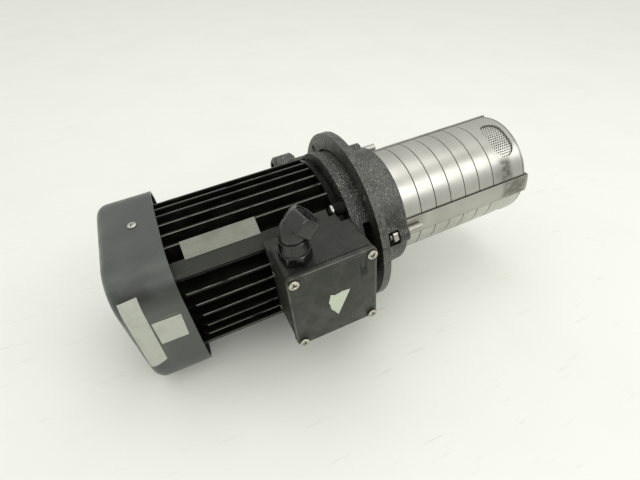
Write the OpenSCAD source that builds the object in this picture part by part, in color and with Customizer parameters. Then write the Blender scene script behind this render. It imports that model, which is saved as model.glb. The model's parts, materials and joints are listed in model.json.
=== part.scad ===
// Immersible coolant pump lying on its side, drawn in millimetres.
// X runs along the shaft from the motor to the inlet, Z is up, and the origin is
// the centre of the mounting flange's tank-side face.

/* [Flange] */
// Thickness of the mounting flange at its rim
flange_t = 7.8; // [6.5:0.1:9]
// Distance from the neck's upper end out to the circle of tank bolts
tank_gap = 14.2; // [12:0.1:16]
// Distance from the circle of tank bolts out to the flange's rim
flange_edge = 10; // [9:0.5:13]
// Radius of a tank bolt hole
tank_hole_r = 4.5; // [3:0.1:5]
// Number of tank bolt holes
tank_hole_n = 4; // [4:4:8]
// Turn of the pump head against the motor, degrees
head_turn = -4; // [-6:1:0]

/* [Fan cover] */
// Step from the fan cover and the front shield out to the pump head's collar
cover_step = 3.5; // [2.5:0.1:4.5]
// Radius of the fan cover's long corners
cover_corner_r = 35; // [32:0.5:38]
// Radius of the fan cover's rear edge
cover_edge_r = 11; // [8:0.5:14]
// Wall of the fan cover
cover_wall = 2.6; // [2:0.1:3]
// Length of the fan cover
cover_len = 51; // [48:0.5:54]
// Length of the housing that the fan cover overlaps
cover_lap = 6; // [4:0.5:8]
// Number of air rings in the rear face
grille_n = 6; // [4:1:7]
// Width of one air slot
grille_slot = 4; // [3:0.1:4.4]
// Distance between two air rings
grille_pitch = 8; // [7.5:0.1:8.3]
// Radius of the innermost air ring
grille_first_r = 8; // [6:0.5:9]
// Width of the spokes across the air rings
grille_spoke = 5; // [4:0.1:8]

/* [Motor housing] */
// Distance from the flange face to the housing's front end
housing_front = 35; // [34:0.5:36]
// Distance from the flange face to the housing's rear end
housing_rear = 187; // [185:0.5:190]
// Fins on each side
fin_n = 6; // [4:2:6]
// Distance between two fins
fin_pitch = 13; // [12:0.1:13.4]
// Thickness of a fin
fin_t = 2.2; // [1.6:0.1:3]
// Step from a middle fin's tip out to the fan cover's face
fin_step = 3.3; // [3:0.1:4]
// Height of a middle fin over the housing's tube
fin_h = 10.2; // [8:0.1:12]
// Height that the outermost fin loses against a middle one
fin_drop = 4.2; // [3:0.1:5]
// Length of the bevel at the rear end of each fin
fin_bevel = 10; // [6:0.5:12]
// Wall of the housing's tube
housing_wall = 5; // [4:0.1:6]
// Height of a corner strip over the housing's tube
strip_h = 14; // [12:0.5:15]
// Width of a corner strip
strip_w = 14.5; // [12:0.5:16]
// Bore radius of the long hole in each corner strip
strip_hole_r = 2.6; // [2:0.1:3]

/* [Nameplate] */
// Length of the nameplate
plate_len = 65; // [60:1:68]
// Overlap of the nameplate on the fin and on the corner strip that carry it
plate_lap = 1.1; // [0.5:0.1:2]

/* [Terminal box] */
// Depth of the terminal box with its lid
box_depth = 43; // [38:0.5:48]
// Thickness of the lid
lid_t = 5; // [4:0.1:6]
// Spacing of the lid screws along the shaft
screw_gap_x = 68; // [64:0.5:70]
// Spacing of the lid screws across the shaft
screw_gap_z = 76; // [72:0.5:78]
// Gap between the pump head's collar and the box
box_gap = 1.9; // [1:0.1:4]
// Height of the middle of the box over the shaft
box_mid_z = 11.6; // [10:0.2:13]
// Radius of the box's corners, centred on the screws
box_corner_r = 5.6; // [5:0.1:7]
// Wall of the box
box_wall = 2.8; // [2.4:0.1:3.4]

/* [Cable gland] */
// Distance from the rear lid screws to the gland's upright axis
gland_inset = 11.5; // [9:0.5:14]
// Width across the flats of the cap nut
gland_flats = 24; // [22:0.5:25]
// Bore radius of the gland
gland_bore = 6.5; // [5:0.1:7]
// Angle of the elbow, degrees
gland_bend = 45; // [35:1:55]

/* [Pump head] */
// Distance from the circle of tank bolts in to the collar's outside
collar_inset = 6; // [5:0.5:8]
// Length of the neck below the flange
neck_len = 34.9; // [34:0.1:36]
// Step from the chamber stack out to the neck's lower end
neck_step = 7.9; // [6.5:0.1:9]
// Taper of the neck on the radius
neck_taper = 2.4; // [0:0.1:3]
// Distance from the collar's outside in to the space round the coupling
stool_wall = 28; // [26:0.5:30]
// Distance from the collar's outside to the outlet's axis along Y
outlet_gap = 15; // [14.5:0.5:18]
// Height of the outlet's axis over the shaft
outlet_z = 20; // [18:0.5:22]
// Radius of the outlet's head
outlet_r = 17; // [15.5:0.5:17]
// Radius of the outlet's threaded bore
outlet_bore = 12.1; // [10:0.1:13]

/* [Chamber stack] */
// Radius of the chamber stack
stack_r = 55.5; // [55:0.1:56]
// Length of one chamber
chamber_len = 18; // [17.5:0.1:18.5]
// Number of chambers and impellers
chamber_n = 5; // [5:1:5]
// Length of the top ring between the head and the first chamber
top_ring_len = 22.3; // [21:0.1:24]
// Length of the inlet part
inlet_len = 39.8; // [38:0.1:42]
// Thickness of a chamber's sleeve
sleeve_t = 1.6; // [1.2:0.1:2]
// Room from an impeller's rim out to the face of the stack
guide_room = 15.5; // [13:0.5:18]
// Vanes of an impeller
vane_n = 6; // [5:1:8]
// Length of an inlet window along the shaft
window_len = 24; // [20:0.5:26]
// Width of an inlet window round the stack
window_w = 44.5; // [40:0.5:46]
// Width of a strap
strap_w = 20; // [16:0.5:22]
// Thickness of a strap
strap_t = 1.2; // [1:0.1:1.5]
// Angle of the first strap from Y, degrees
strap_turn = 54; // [52:1:56]

/* [Shaft] */
// Radius of the pump shaft and of the coupling's bore
shaft_r = 8; // [7.5:0.1:8.5]
// Bore radius of the rear bearing
rear_seat_r = 8.5; // [8.5:0.1:9]
// Bore radius of the front bearing
front_seat_r = 10; // [9.5:0.1:10.5]
// Radial play of the shaft in its bearings
run_play = 0.05; // [0.03:0.01:0.08]
// Gap between nested parts that are held together
seat_gap = 0.1; // [0.05:0.01:0.15]
// Gap round a part that turns
turn_gap = 0.4; // [0.35:0.05:0.5]

/* [Screws and bolts] */
// Radius of the fan cover screws' shanks
cover_screw_r = 2; // [1.5:0.1:2.4]
// Radius of the fan cover screws' heads
cover_screw_head_r = 4; // [3.4:0.1:4.5]
// Distance from the fan cover's open end to its screws
cover_screw_inset = 20; // [16:0.5:24]
// Radius of the tie bolts through the corner strips
tie_r = 2.5; // [1.9:0.1:2.5]
// Radius of the corner bolts that join the motor to the head
corner_bolt_r = 3; // [2.5:0.1:3.2]
// Radius of the corner bolts' heads
corner_head_r = 5.6; // [5:0.1:6]
// Height of the corner bolts' heads
corner_head_t = 3.6; // [3:0.1:4]
// Distance from the collar's outside in to the corner bolts
corner_bolt_inset = 7; // [6.5:0.1:8]
// Radius of the lid screws' heads
lid_head_r = 4.6; // [4:0.1:5]
// Height of the lid screws' heads
lid_head_t = 2.6; // [2:0.1:3]
// Radius of the lid screws' shanks
lid_screw_r = 1.9; // [1.5:0.1:2.2]
// Depth of a cross recess
cross_depth = 1.4; // [1:0.1:1.8]
// Width of a cross recess
cross_w = 1.1; // [0.8:0.1:1.4]
// Span of a cross recess
cross_span = 5; // [4:0.1:5.4]
// Radius of a strap's stud
stud_r = 3.5; // [3:0.1:3.8]
// Width across the flats of a strap nut
strap_nut_flats = 13; // [12:0.1:13.5]
// Height of a strap nut
strap_nut_t = 6.5; // [5:0.1:7]

/* [Details] */
// Overrun of every cut
overrun = 1; // [0.5:0.1:1.5]
// Depth of the joint lines between chamber rings
joint_depth = 0.6; // [0.4:0.1:0.8]
// Thickness of thin plates, washers and shrouds
plate_t = 1.5; // [1.2:0.1:1.8]
// Thickness of castings and shields
cast_t = 6; // [5:0.1:7]

/* [Hidden] */
$fn = 96;
strap_n = 3;
strap_step = 360 / strap_n;
side_n = 4;
side_step = 360 / side_n;
corner_turn = side_step / 2;
bolt_turn = corner_turn + head_turn;
window_turn = strap_turn + strap_step / 2;
hex_share = 1 / sqrt(3);
neck_r = stack_r + neck_step;
tank_circle_r = neck_r + neck_taper + tank_gap;
flange_r = tank_circle_r + flange_edge;
collar_r = tank_circle_r - collar_inset;
stool_bore = collar_r - stool_wall;
outlet_y = collar_r + outlet_gap;
corner_bolt_reach = collar_r - corner_bolt_inset;
cover_half = collar_r - cover_step;
fin_tip = cover_half - fin_step;
housing_r = fin_tip - fin_h;
housing_bore = housing_r - housing_wall;
strip_reach = housing_r + strip_h;
cover_front = housing_rear - cover_lap;
cover_screw_x = cover_front + cover_screw_inset;
impeller_r = stack_r - guide_room;
pad_y = housing_r + cast_t * 3 / 2;
shield_t = cast_t * 11 / 6;
head_front = housing_front - shield_t;
box_mid_x = head_front + box_gap + box_corner_r + screw_gap_x / 2;
box_x = -box_mid_x;
box_top = box_mid_z + screw_gap_z / 2 + box_corner_r;
box_reach = pad_y + box_depth;
gland_x = box_mid_x + screw_gap_x / 2 - gland_inset;
gland_y = pad_y + box_depth / 2;
lid_back = box_reach - lid_t;
gasket_t = plate_t * 2 / 3;
base_front = lid_back - gasket_t;
collar_t = cast_t * 3 / 2;
window_back = head_front - collar_t;
seal_wall = cast_t * 4 / 3;
seal_wall_x = cast_t * 2 / 3;
seal_wall_end = seal_wall_x + seal_wall;
neck_bore = stack_r - cast_t;
outlet_reach = sqrt(outlet_y * outlet_y + outlet_z * outlet_z);
outlet_turn = atan2(outlet_z, outlet_y);
stud_reach = stack_r + strap_t + stud_r;
chamber_x = neck_len + top_ring_len;
inlet_x = chamber_x + chamber_n * chamber_len;
end_x = inlet_x + inlet_len;
end_t = cast_t * 2 / 3;
stack_end = end_x + end_t;
motor_rear = cover_front + cover_len;
fan_x = -motor_rear + cover_wall + cast_t;
fan_len = cast_t * 3;
fan_r = housing_r - plate_t / 2;
blade_n = 8;
rear_bearing_w = cast_t * 2;
rear_bearing_x = -housing_rear + cast_t;
rear_bearing_r = rear_seat_r + cast_t * 23 / 12;
front_bearing_w = cast_t * 7 / 3;
front_bearing_x = -housing_front - front_bearing_w;
front_bearing_r = front_seat_r + cast_t * 9 / 4;
rear_plate_t = cast_t;
lug_w = cast_t * 2;
tie_reach = strip_reach - cast_t * 2;
race_t = cast_t / 2;
core_front = housing_front + cast_t * 7;
core_rear = housing_rear - cast_t * 6;
slot_n = 12;
slot_w = cast_t;
slot_depth = cast_t * 2;
core_bore = housing_bore - slot_depth - cast_t * 4 / 3;
air_gap = turn_gap;
coupling_len = cast_t * 4;
coupling_x = -head_front + cast_t / 2;
shaft_joint = coupling_x + coupling_len / 2;
front_nose = front_bearing_x + front_bearing_w;
lobe_r = cast_t * 7 / 6;
collar_gap = cast_t / 3;
thread_r = gland_flats * 5 / 12;
block_w = screw_gap_x * 3 / 5;
block_h = cast_t * 4;
block_t = cast_t * 2;
stud_n = 3;
gland_body_r = gland_flats * 11 / 24;
gland_bend_z = box_top + gland_flats;
gland_hex_t = cast_t;
gland_arm = gland_flats * 5 / 6;
fin_edge_y = (fin_n - 1) / 2 * fin_pitch + fin_t / 2;
fin_edge_z = fin_tip - fin_drop;
strip_edge_y = (strip_reach - strip_w / 2) * sin(corner_turn);
strip_edge_z = (strip_reach + strip_w / 2) * sin(corner_turn);
plate_rise = sqrt(pow(strip_edge_y - fin_edge_y, 2) + pow(fin_edge_z - strip_edge_z, 2))
    + 2 * plate_lap;
plate_turn = atan2(fin_edge_z - strip_edge_z, strip_edge_y - fin_edge_y);
leg_half_turn = corner_turn * 6 / 5;
leg_turn = 2 * corner_turn - head_turn;
pocket_r = strap_nut_flats * 7 / 10;
ear_r = pocket_r;
ear_t = cast_t * 11 / 6;
outlet_head = cast_t * 13 / 3;
outlet_edge = cast_t / 2;
outlet_end = housing_front + cast_t * 9 / 4;
arm_x = -window_back - plate_t * 2 / 3;
arm_r = cast_t * 5 / 4;
arm_bore = cast_t * 11 / 12;
riser_reach = stool_bore + cast_t * 4 / 3;
riser_r = cast_t * 5 / 3;
riser_bore = cast_t;
coupling_r = shaft_r * 9 / 4;
clamp_gap = plate_t / 2;
neck_ring_r = impeller_r / 2;
diffuser_n = 8;
vane_bend_r = impeller_r * 3 / 5;
eye_r = neck_ring_r - plate_t;
hub_r = shaft_r + cast_t / 2;
hole_rows = 4;
hole_columns = 7;
hole_pitch = window_len / (hole_rows + 1);
sheet_hole_r = hole_pitch / 4;
sheet_r = stack_r - sleeve_t - seat_gap;
strap_x = neck_len + plate_t;
stud_x0 = neck_len - ear_t - strap_nut_t - plate_t;
stud_x1 = neck_len + cast_t * 3;

// Places what is drawn in Y and Z at x and stands it along the shaft.
module along(x) {
    translate([x, 0, 0]) rotate([90, 0, 90]) children();
}

module disc(x0, x1, r) {
    along(x0) cylinder(h = x1 - x0, r = r);
}

module ring(x0, x1, outer, inner) {
    difference() {
        disc(x0, x1, outer);
        disc(x0 - overrun, x1 + overrun, inner);
    }
}

// A body turned about the shaft from points of radius and x.
module turned(points) {
    along(0) rotate_extrude() polygon(points);
}

// Copies the children n times round the shaft, the first at turn.
module around(n, turn) {
    for (i = [0:n - 1])
        rotate([turn + 360 / n * i, 0, 0]) children();
}

// A hexagon that stands along the shaft.
module hex_bar(x0, x1, flats) {
    along(x0) cylinder(h = x1 - x0, r = flats * hex_share, $fn = 6);
}

// Places what is drawn in X and Z at a distance to the near side, facing outwards.
module sideways(y) {
    translate([0, -y, 0]) rotate([90, 0, 0]) children();
}

module rounded_square(half, r) {
    square([2 * half, 2 * (half - r)], center = true);
    square([2 * (half - r), 2 * half], center = true);
    for (u = [-1, 1], v = [-1, 1])
        translate([u * (half - r), v * (half - r)]) circle(r = r);
}

// The fan cover's form with its rounded rear edge.
module cover_form(half, r, edge, rear, front) {
    along(rear + edge) linear_extrude(height = front - rear - edge) rounded_square(half, r);
    along(rear) linear_extrude(height = edge) rounded_square(half - edge, r - edge);
    around(side_n, 0)
        translate([rear + edge, half - edge, 0])
            cylinder(h = 2 * (half - r), r = edge, center = true);
    around(side_n, 0)
        translate([rear + edge, half - r, half - r]) rotate([0, 90, 0])
            rotate_extrude() translate([r - edge, 0]) circle(r = edge);
}

module fan_cover() {
    color("#4a4c4b")
    difference() {
        cover_form(cover_half, cover_corner_r, cover_edge_r, -motor_rear, -cover_front);
        cover_form(cover_half - cover_wall, cover_corner_r - cover_wall,
            cover_edge_r - cover_wall, -motor_rear + cover_wall, -cover_front + overrun);
        difference() {
            for (i = [0:grille_n - 1])
                ring(-motor_rear - overrun, -motor_rear + cover_wall + overrun,
                    grille_first_r + i * grille_pitch + grille_slot,
                    grille_first_r + i * grille_pitch);
            around(side_n, corner_turn)
                translate([-motor_rear - 2 * overrun, 0, -grille_spoke / 2])
                    cube([cover_wall + 4 * overrun, 2 * cover_half, grille_spoke]);
        }
        at_cover_screws()
            translate([0, -2 * cover_wall, 0]) rotate([-90, 0, 0])
                cylinder(h = 4 * cover_wall, r = cover_screw_r + seat_gap);
    }
}

module cross_recess(depth) {
    for (a = [0, 90])
        rotate([0, 0, a]) translate([-cross_span / 2, -cross_w / 2, -depth])
            cube([cross_span, cross_w, depth + overrun]);
}

// A pan-head screw with its head's underside at z = 0 and its shank below.
module pan_screw(head_r, head_t, r, length) {
    difference() {
        union() {
            intersection() {
                cylinder(h = head_t, r = head_r);
                translate([0, 0, head_t - head_r * 2]) sphere(r = head_r * 2);
            }
            translate([0, 0, -length]) cylinder(h = length, r = r);
        }
        translate([0, 0, head_t]) cross_recess(min(cross_depth, head_t / 2));
    }
}

// The places of the fan cover's screws: top, bottom and far side.
module at_cover_screws() {
    for (i = [-1:1])
        rotate([side_step * i, 0, 0]) translate([-cover_screw_x, cover_half, 0]) children();
}

module fan_cover_screws() {
    color("silver")
    at_cover_screws()
        rotate([-90, 0, 0])
            pan_screw(cover_screw_head_r, cover_screw_r, cover_screw_r, cast_t * 4 / 3);
}

module cooling_fan() {
    color("#2b2b2b")
    difference() {
        union() {
            disc(fan_x, fan_x + fan_len, shaft_r + cast_t);
            disc(fan_x + fan_len - plate_t, fan_x + fan_len, fan_r);
            around(blade_n, 0)
                translate([fan_x, shaft_r + cast_t / 2, -plate_t / 2])
                    cube([fan_len - plate_t / 2, fan_r - shaft_r - cast_t, plate_t]);
        }
        disc(fan_x - overrun, fan_x + fan_len + overrun, shaft_r);
    }
}

module rear_end_shield() {
    color("#1d1d1d")
    difference() {
        union() {
            intersection() {
                disc(-housing_rear - rear_plate_t, -housing_rear, tie_reach + tie_r + cast_t / 2);
                cube([3 * motor_rear, 2 * (cover_half - 2 * cover_wall),
                    2 * (cover_half - 2 * cover_wall)], center = true);
            }
            disc(-housing_rear - overrun, -housing_rear + cast_t / 2, housing_bore - seat_gap);
            disc(-housing_rear - overrun, rear_bearing_x + rear_bearing_w,
                rear_bearing_r + cast_t);
            around(side_n, 0)
                translate([-cover_screw_x - lug_w / 2, fan_r + plate_t, -lug_w / 2])
                    cube([cover_screw_x + lug_w / 2 - housing_rear,
                        cover_half - cover_wall - fan_r - plate_t - seat_gap, lug_w]);
        }
        disc(rear_bearing_x, rear_bearing_x + rear_bearing_w + overrun, rear_bearing_r);
        disc(-motor_rear, motor_rear, rear_seat_r + plate_t);
        ring(-housing_rear + overrun, -housing_rear + cast_t, housing_bore - cast_t,
            rear_bearing_r + cast_t);
        around(side_n, corner_turn)
            translate([0, tie_reach, 0]) disc(-motor_rear, 0, tie_r + seat_gap);
        at_cover_screws()
            translate([0, -cast_t * 2, 0]) rotate([-90, 0, 0])
                cylinder(h = cast_t * 2, r = cover_screw_r + seat_gap);
    }
}

// A tie bolt that runs from the rear shield through a corner strip to the front shield.
module tie_bolts() {
    color("silver")
    around(side_n, corner_turn)
        translate([0, tie_reach, 0]) {
            disc(-housing_rear - rear_plate_t, -housing_front + shield_t / 2, tie_r);
            hex_bar(-housing_rear - rear_plate_t - cast_t / 2,
                -housing_rear - rear_plate_t, tie_r * 3);
        }
}

module bearing_outer(x, width, outer) {
    ring(x, x + width, outer, outer - race_t);
}

module bearing_inner(x, width, inner, outer) {
    difference() {
        union() {
            disc(x, x + width, inner + race_t);
            // balls and cage between the rings
            disc(x + width / 4, x + width * 3 / 4, outer - race_t - run_play);
        }
        disc(x - overrun, x + width + overrun, inner);
    }
}

module rear_bearing_outer() {
    color("lightsteelblue")
    bearing_outer(rear_bearing_x, rear_bearing_w, rear_bearing_r);
}

module rear_bearing_inner() {
    color("lightsteelblue")
    bearing_inner(rear_bearing_x, rear_bearing_w, rear_seat_r, rear_bearing_r);
}

module front_bearing_outer() {
    color("lightsteelblue")
    bearing_outer(front_bearing_x, front_bearing_w, front_bearing_r);
}

module front_bearing_inner() {
    color("lightsteelblue")
    bearing_inner(front_bearing_x, front_bearing_w, front_seat_r, front_bearing_r);
}

// The height of fin i of a side, lower towards the corners.
function fin_height(i) = let (s = (i - (fin_n - 1) / 2) / ((fin_n - 1) / 2))
    fin_tip - fin_drop * s * s;

module housing_section() {
    circle(r = housing_r);
    for (a = [0:side_step:359])
        rotate([0, 0, a]) {
            for (i = [0:fin_n - 1])
                translate([(i - (fin_n - 1) / 2) * fin_pitch - fin_t / 2, 0])
                    square([fin_t, fin_height(i)]);
            rotate([0, 0, corner_turn]) translate([-strip_w / 2, 0])
                square([strip_w, strip_reach]);
        }
}

module motor_housing() {
    color("#141414")
    difference() {
        union() {
            along(-housing_rear) linear_extrude(height = housing_rear - housing_front)
                housing_section();
            translate([box_x - screw_gap_x / 2 - box_corner_r, -pad_y,
                box_mid_z - screw_gap_z / 2])
                cube([screw_gap_x / 2 + box_corner_r - box_x - housing_front,
                    pad_y - housing_bore / 2, screw_gap_z]);
        }
        disc(-housing_rear - overrun, -housing_front + overrun, housing_bore);
        around(side_n, corner_turn)
            translate([0, tie_reach, 0])
                disc(-housing_rear - overrun, -housing_front + overrun, strip_hole_r);
        // the side that carries the terminal box is flat under it
        translate([box_x - screw_gap_x / 2 - box_corner_r - plate_t, -strip_reach * 2,
            box_mid_z - screw_gap_z / 2 - box_corner_r])
            cube([screw_gap_x + box_corner_r + housing_front, strip_reach * 2 - pad_y,
                screw_gap_z + box_corner_r * 2]);
        // bevels at the rear ends of the side fins
        for (i = [0, 2])
            rotate([side_step * i, 0, 0]) translate([0, 0, -fin_n * fin_pitch / 2 + fin_t])
                linear_extrude(height = fin_n * fin_pitch - 2 * fin_t)
                    polygon([
                        [-cover_front + fin_bevel, fin_tip + overrun],
                        [-cover_front + fin_bevel, fin_tip],
                        [-cover_front - overrun, housing_r + plate_t * 2],
                        [-housing_rear - overrun, housing_r + plate_t * 2],
                        [-housing_rear - overrun, fin_tip + overrun]]);
        // notches that clear the corner bolts' heads
        around(side_n, bolt_turn)
            translate([0, corner_bolt_reach, 0])
                disc(-housing_front - corner_head_t * 2, -housing_front + overrun,
                    corner_head_r + plate_t / 3);
        // way for the leads into the terminal box
        translate([box_x, -housing_bore / 2, box_mid_z]) rotate([90, 0, 0])
            cylinder(h = strip_reach, r = cast_t);
    }
}

module stator_core() {
    color("#5d6066")
    difference() {
        ring(-core_rear, -core_front, housing_bore - seat_gap, core_bore);
        around(slot_n, 0)
            translate([-core_rear - overrun, core_bore - overrun, -slot_w / 2])
                cube([core_rear - core_front + 2 * overrun, slot_depth + overrun, slot_w]);
    }
}

module stator_windings() {
    color("#b0642c")
    union() {
        around(slot_n, 0)
            translate([-core_rear - cast_t / 2, core_bore + seat_gap * 4,
                -slot_w / 2 + seat_gap])
                cube([core_rear - core_front + cast_t, slot_depth - seat_gap * 5,
                    slot_w - 2 * seat_gap]);
        for (x = [-core_rear - cast_t * 2, -core_front])
            ring(x + seat_gap, x + cast_t * 2 - seat_gap, core_bore + slot_depth + cast_t / 3,
                core_bore + seat_gap * 4);
    }
}

module rotor_core() {
    color("#7d8085")
    difference() {
        union() {
            disc(-core_rear, -core_front, core_bore - air_gap);
            disc(-core_rear - cast_t, -core_front + cast_t, core_bore - cast_t / 3);
        }
        disc(-core_rear - 2 * cast_t, -core_front + 2 * cast_t, shaft_r * 3 / 2);
    }
}

module motor_shaft() {
    color("silver")
    turned([
        [0, fan_x - cast_t / 3],
        [shaft_r, fan_x - cast_t / 3],
        [shaft_r, rear_bearing_x - cast_t * 2],
        [rear_seat_r, rear_bearing_x - cast_t * 2],
        [rear_seat_r, rear_bearing_x + rear_bearing_w],
        [shaft_r * 3 / 2, rear_bearing_x + rear_bearing_w],
        [shaft_r * 3 / 2, front_bearing_x],
        [front_seat_r, front_bearing_x],
        [front_seat_r, front_nose + cast_t / 3],
        [shaft_r, front_nose + cast_t / 3],
        [shaft_r, shaft_joint - seat_gap],
        [0, shaft_joint - seat_gap]]);
}

// A round plate with a lobe at each corner bolt, drawn in Y and Z.
module lobed(r) {
    circle(r = r);
    for (i = [0:side_n - 1])
        rotate([0, 0, bolt_turn + side_step * i]) translate([corner_bolt_reach, 0])
            circle(r = lobe_r);
}

module front_end_shield() {
    color("#1a1a1a")
    difference() {
        union() {
            along(-housing_front) linear_extrude(height = cast_t / 2)
                lobed(cover_half - plate_t);
            disc(-housing_front + plate_t, -head_front - collar_gap, cover_half - cast_t);
            around(side_n, bolt_turn)
                translate([0, corner_bolt_reach, 0])
                    disc(-housing_front + plate_t / 2, -head_front, lobe_r - plate_t / 5);
            disc(-housing_front - cast_t / 2, -housing_front + plate_t / 2, housing_bore - seat_gap);
            disc(front_bearing_x - collar_gap, -housing_front + plate_t, front_bearing_r + cast_t);
        }
        // flat where the terminal box passes
        translate([-housing_front - overrun, -2 * cover_half, -cover_half])
            cube([2 * shield_t, 2 * cover_half - pad_y + seat_gap, 2 * cover_half]);
        disc(front_bearing_x, front_nose, front_bearing_r);
        disc(front_bearing_x - cast_t, front_bearing_x + overrun, front_bearing_r - race_t);
        disc(-housing_front - overrun, overrun, front_seat_r + cast_t / 3);
        ring(-head_front - shield_t / 2, overrun, stool_bore - cast_t,
            front_seat_r + cast_t);
        around(side_n, corner_turn)
            translate([0, tie_reach, 0])
                disc(-housing_front - overrun, -housing_front + shield_t / 2, tie_r + seat_gap);
        around(side_n, bolt_turn)
            translate([0, corner_bolt_reach, 0])
                disc(-housing_front - overrun, overrun, corner_bolt_r + seat_gap);
    }
}

module corner_bolts() {
    color("#d8d8d4")
    around(side_n, bolt_turn)
        translate([-housing_front, corner_bolt_reach, 0]) rotate([0, -90, 0])
            pan_screw(corner_head_r, corner_head_t, corner_bolt_r, shield_t + collar_t * 2 / 3);
}

module nameplate() {
    color("#c9c9c4")
    translate([-cover_front + cast_t * 2, -(fin_edge_y + strip_edge_y) / 2,
        (fin_edge_z + strip_edge_z) / 2])
        rotate([plate_turn, 0, 0]) translate([0, -plate_rise / 2, 0])
            cube([plate_len, plate_rise, plate_t / 2]);
}

// The terminal box's outline over its screws, grown by more.
module box_outline(more) {
    r = box_corner_r + more;
    translate([box_x, box_mid_z]) {
        square([screw_gap_x + 2 * r, screw_gap_z], center = true);
        square([screw_gap_x, screw_gap_z + 2 * r], center = true);
        for (u = [-1, 1], v = [-1, 1])
            translate([u * screw_gap_x / 2, v * screw_gap_z / 2]) circle(r = r);
    }
}

module box_layer(y0, y1, more) {
    sideways(y0) linear_extrude(height = y1 - y0) box_outline(more);
}

module at_box_screws() {
    for (u = [-1, 1], v = [-1, 1])
        translate([box_x + u * screw_gap_x / 2, 0, box_mid_z + v * screw_gap_z / 2])
            children();
}

module terminal_box_base() {
    color("#232422")
    difference() {
        union() {
            difference() {
                box_layer(pad_y, base_front, -box_wall / 4);
                box_layer(pad_y + box_wall, base_front + overrun, -box_wall);
            }
            intersection() {
                at_box_screws() sideways(pad_y + box_wall)
                    cylinder(h = base_front - pad_y - box_wall, r = box_corner_r);
                box_layer(pad_y, base_front, -box_wall / 4);
            }
        }
        at_box_screws() sideways(pad_y + box_wall * 2)
            cylinder(h = base_front, r = lid_screw_r);
        translate([box_x, -pad_y + overrun, box_mid_z]) rotate([90, 0, 0])
            cylinder(h = box_wall + 2 * overrun, r = cast_t);
        at_gland(box_top - cast_t * 5 / 2) cylinder(h = cast_t * 3, r = thread_r + seat_gap);
        // room for the gland's locknut beside a screw boss
        at_gland(box_top - cast_t * 5 / 2)
            cylinder(h = cast_t * 5 / 2 - box_wall, r = gland_flats * hex_share + plate_t / 5);
    }
}

module lid_gasket() {
    color("#0e0e0e")
    difference() {
        box_layer(base_front, base_front + gasket_t, -box_wall / 4);
        box_layer(base_front - overrun, base_front + gasket_t + overrun, -box_wall);
        at_box_screws() sideways(base_front - overrun)
            cylinder(h = gasket_t + 2 * overrun, r = box_corner_r);
    }
}

module terminal_box_lid() {
    color("#2b2c2a")
    difference() {
        union() {
            box_layer(lid_back, box_reach - lid_t / 5, 0);
            box_layer(lid_back, box_reach, -lid_t / 5);
        }
        difference() {
            box_layer(lid_back - overrun, box_reach - lid_t / 2, -box_wall);
            at_box_screws() sideways(lid_back - 2 * overrun)
                cylinder(h = lid_t + 2 * overrun, r = box_corner_r + lid_t / 5);
        }
        at_box_screws() sideways(lid_back - overrun)
            cylinder(h = lid_t + 2 * overrun, r = lid_screw_r + seat_gap);
    }
}

module lid_screws() {
    color("#d5d3c8")
    at_box_screws() sideways(box_reach)
        pan_screw(lid_head_r, lid_head_t, lid_screw_r, lid_t + gasket_t + cast_t);
}

module terminal_block() {
    color("#5a3a22")
    difference() {
        translate([box_x - block_w / 2, -pad_y - box_wall - block_t,
            box_mid_z - screw_gap_z / 4 - block_h / 2])
            cube([block_w, block_t, block_h]);
        at_terminals() sideways(pad_y + box_wall + cast_t / 2)
            cylinder(h = block_t, r = stud_r / 2 + seat_gap);
    }
}

module at_terminals() {
    for (i = [0:stud_n - 1], v = [-1, 1])
        translate([box_x + (i - 1) * block_w / stud_n, 0,
            box_mid_z - screw_gap_z / 4 + v * block_h / 4]) children();
}

module terminal_studs() {
    color("#c8a24a")
    at_terminals() {
        sideways(pad_y + box_wall + cast_t / 2 + seat_gap)
            cylinder(h = block_t + cast_t / 2, r = stud_r / 2);
        sideways(pad_y + box_wall + block_t)
            cylinder(h = cast_t / 2, r = stud_r, $fn = 6);
    }
}

// Places the gland's upright axis at the height of its bend.
module at_gland(z) {
    translate([-gland_x, -gland_y, z]) children();
}

module tilted() {
    at_gland(gland_bend_z) rotate([0, gland_bend, 0]) children();
}

module gland_elbow() {
    color("#3a3a37")
    difference() {
        union() {
            at_gland(box_top - cast_t * 7 / 4) cylinder(h = cast_t * 2, r = thread_r);
            at_gland(box_top) cylinder(h = gland_hex_t, r = gland_flats * hex_share + plate_t / 2, $fn = 6);
            at_gland(box_top + gland_hex_t)
                cylinder(h = gland_hex_t * 3 / 4, r = gland_flats * 9 / 16);
            at_gland(box_top) cylinder(h = gland_flats, r = gland_body_r);
            at_gland(gland_bend_z) sphere(r = gland_body_r * 26 / 25);
            tilted() cylinder(h = gland_arm * 3 / 8, r = gland_body_r);
            tilted() cylinder(h = gland_arm * 3 / 4, r = gland_flats * 3 / 8);
        }
        at_gland(box_top - cast_t * 2) cylinder(h = gland_bend_z - box_top + cast_t * 2, r = gland_bore);
        at_gland(gland_bend_z) sphere(r = gland_bore * 16 / 15);
        tilted() cylinder(h = gland_arm, r = gland_bore);
    }
}

module gland_nut() {
    color("#4b4b46")
    difference() {
        tilted() translate([0, 0, gland_arm * 3 / 8])
            cylinder(h = gland_arm * 5 / 8, r = gland_flats * hex_share, $fn = 6);
        tilted() cylinder(h = gland_arm * 5 / 6, r = gland_flats * 3 / 8 + seat_gap);
        tilted() cylinder(h = gland_arm * 2, r = gland_bore + plate_t * 3 / 4);
    }
}

module gland_seal() {
    color("#101010")
    difference() {
        tilted() translate([0, 0, gland_arm * 3 / 4])
            cylinder(h = gland_arm / 12, r = gland_flats * 3 / 8);
        tilted() cylinder(h = gland_arm * 2, r = gland_bore + seat_gap);
    }
}

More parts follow.
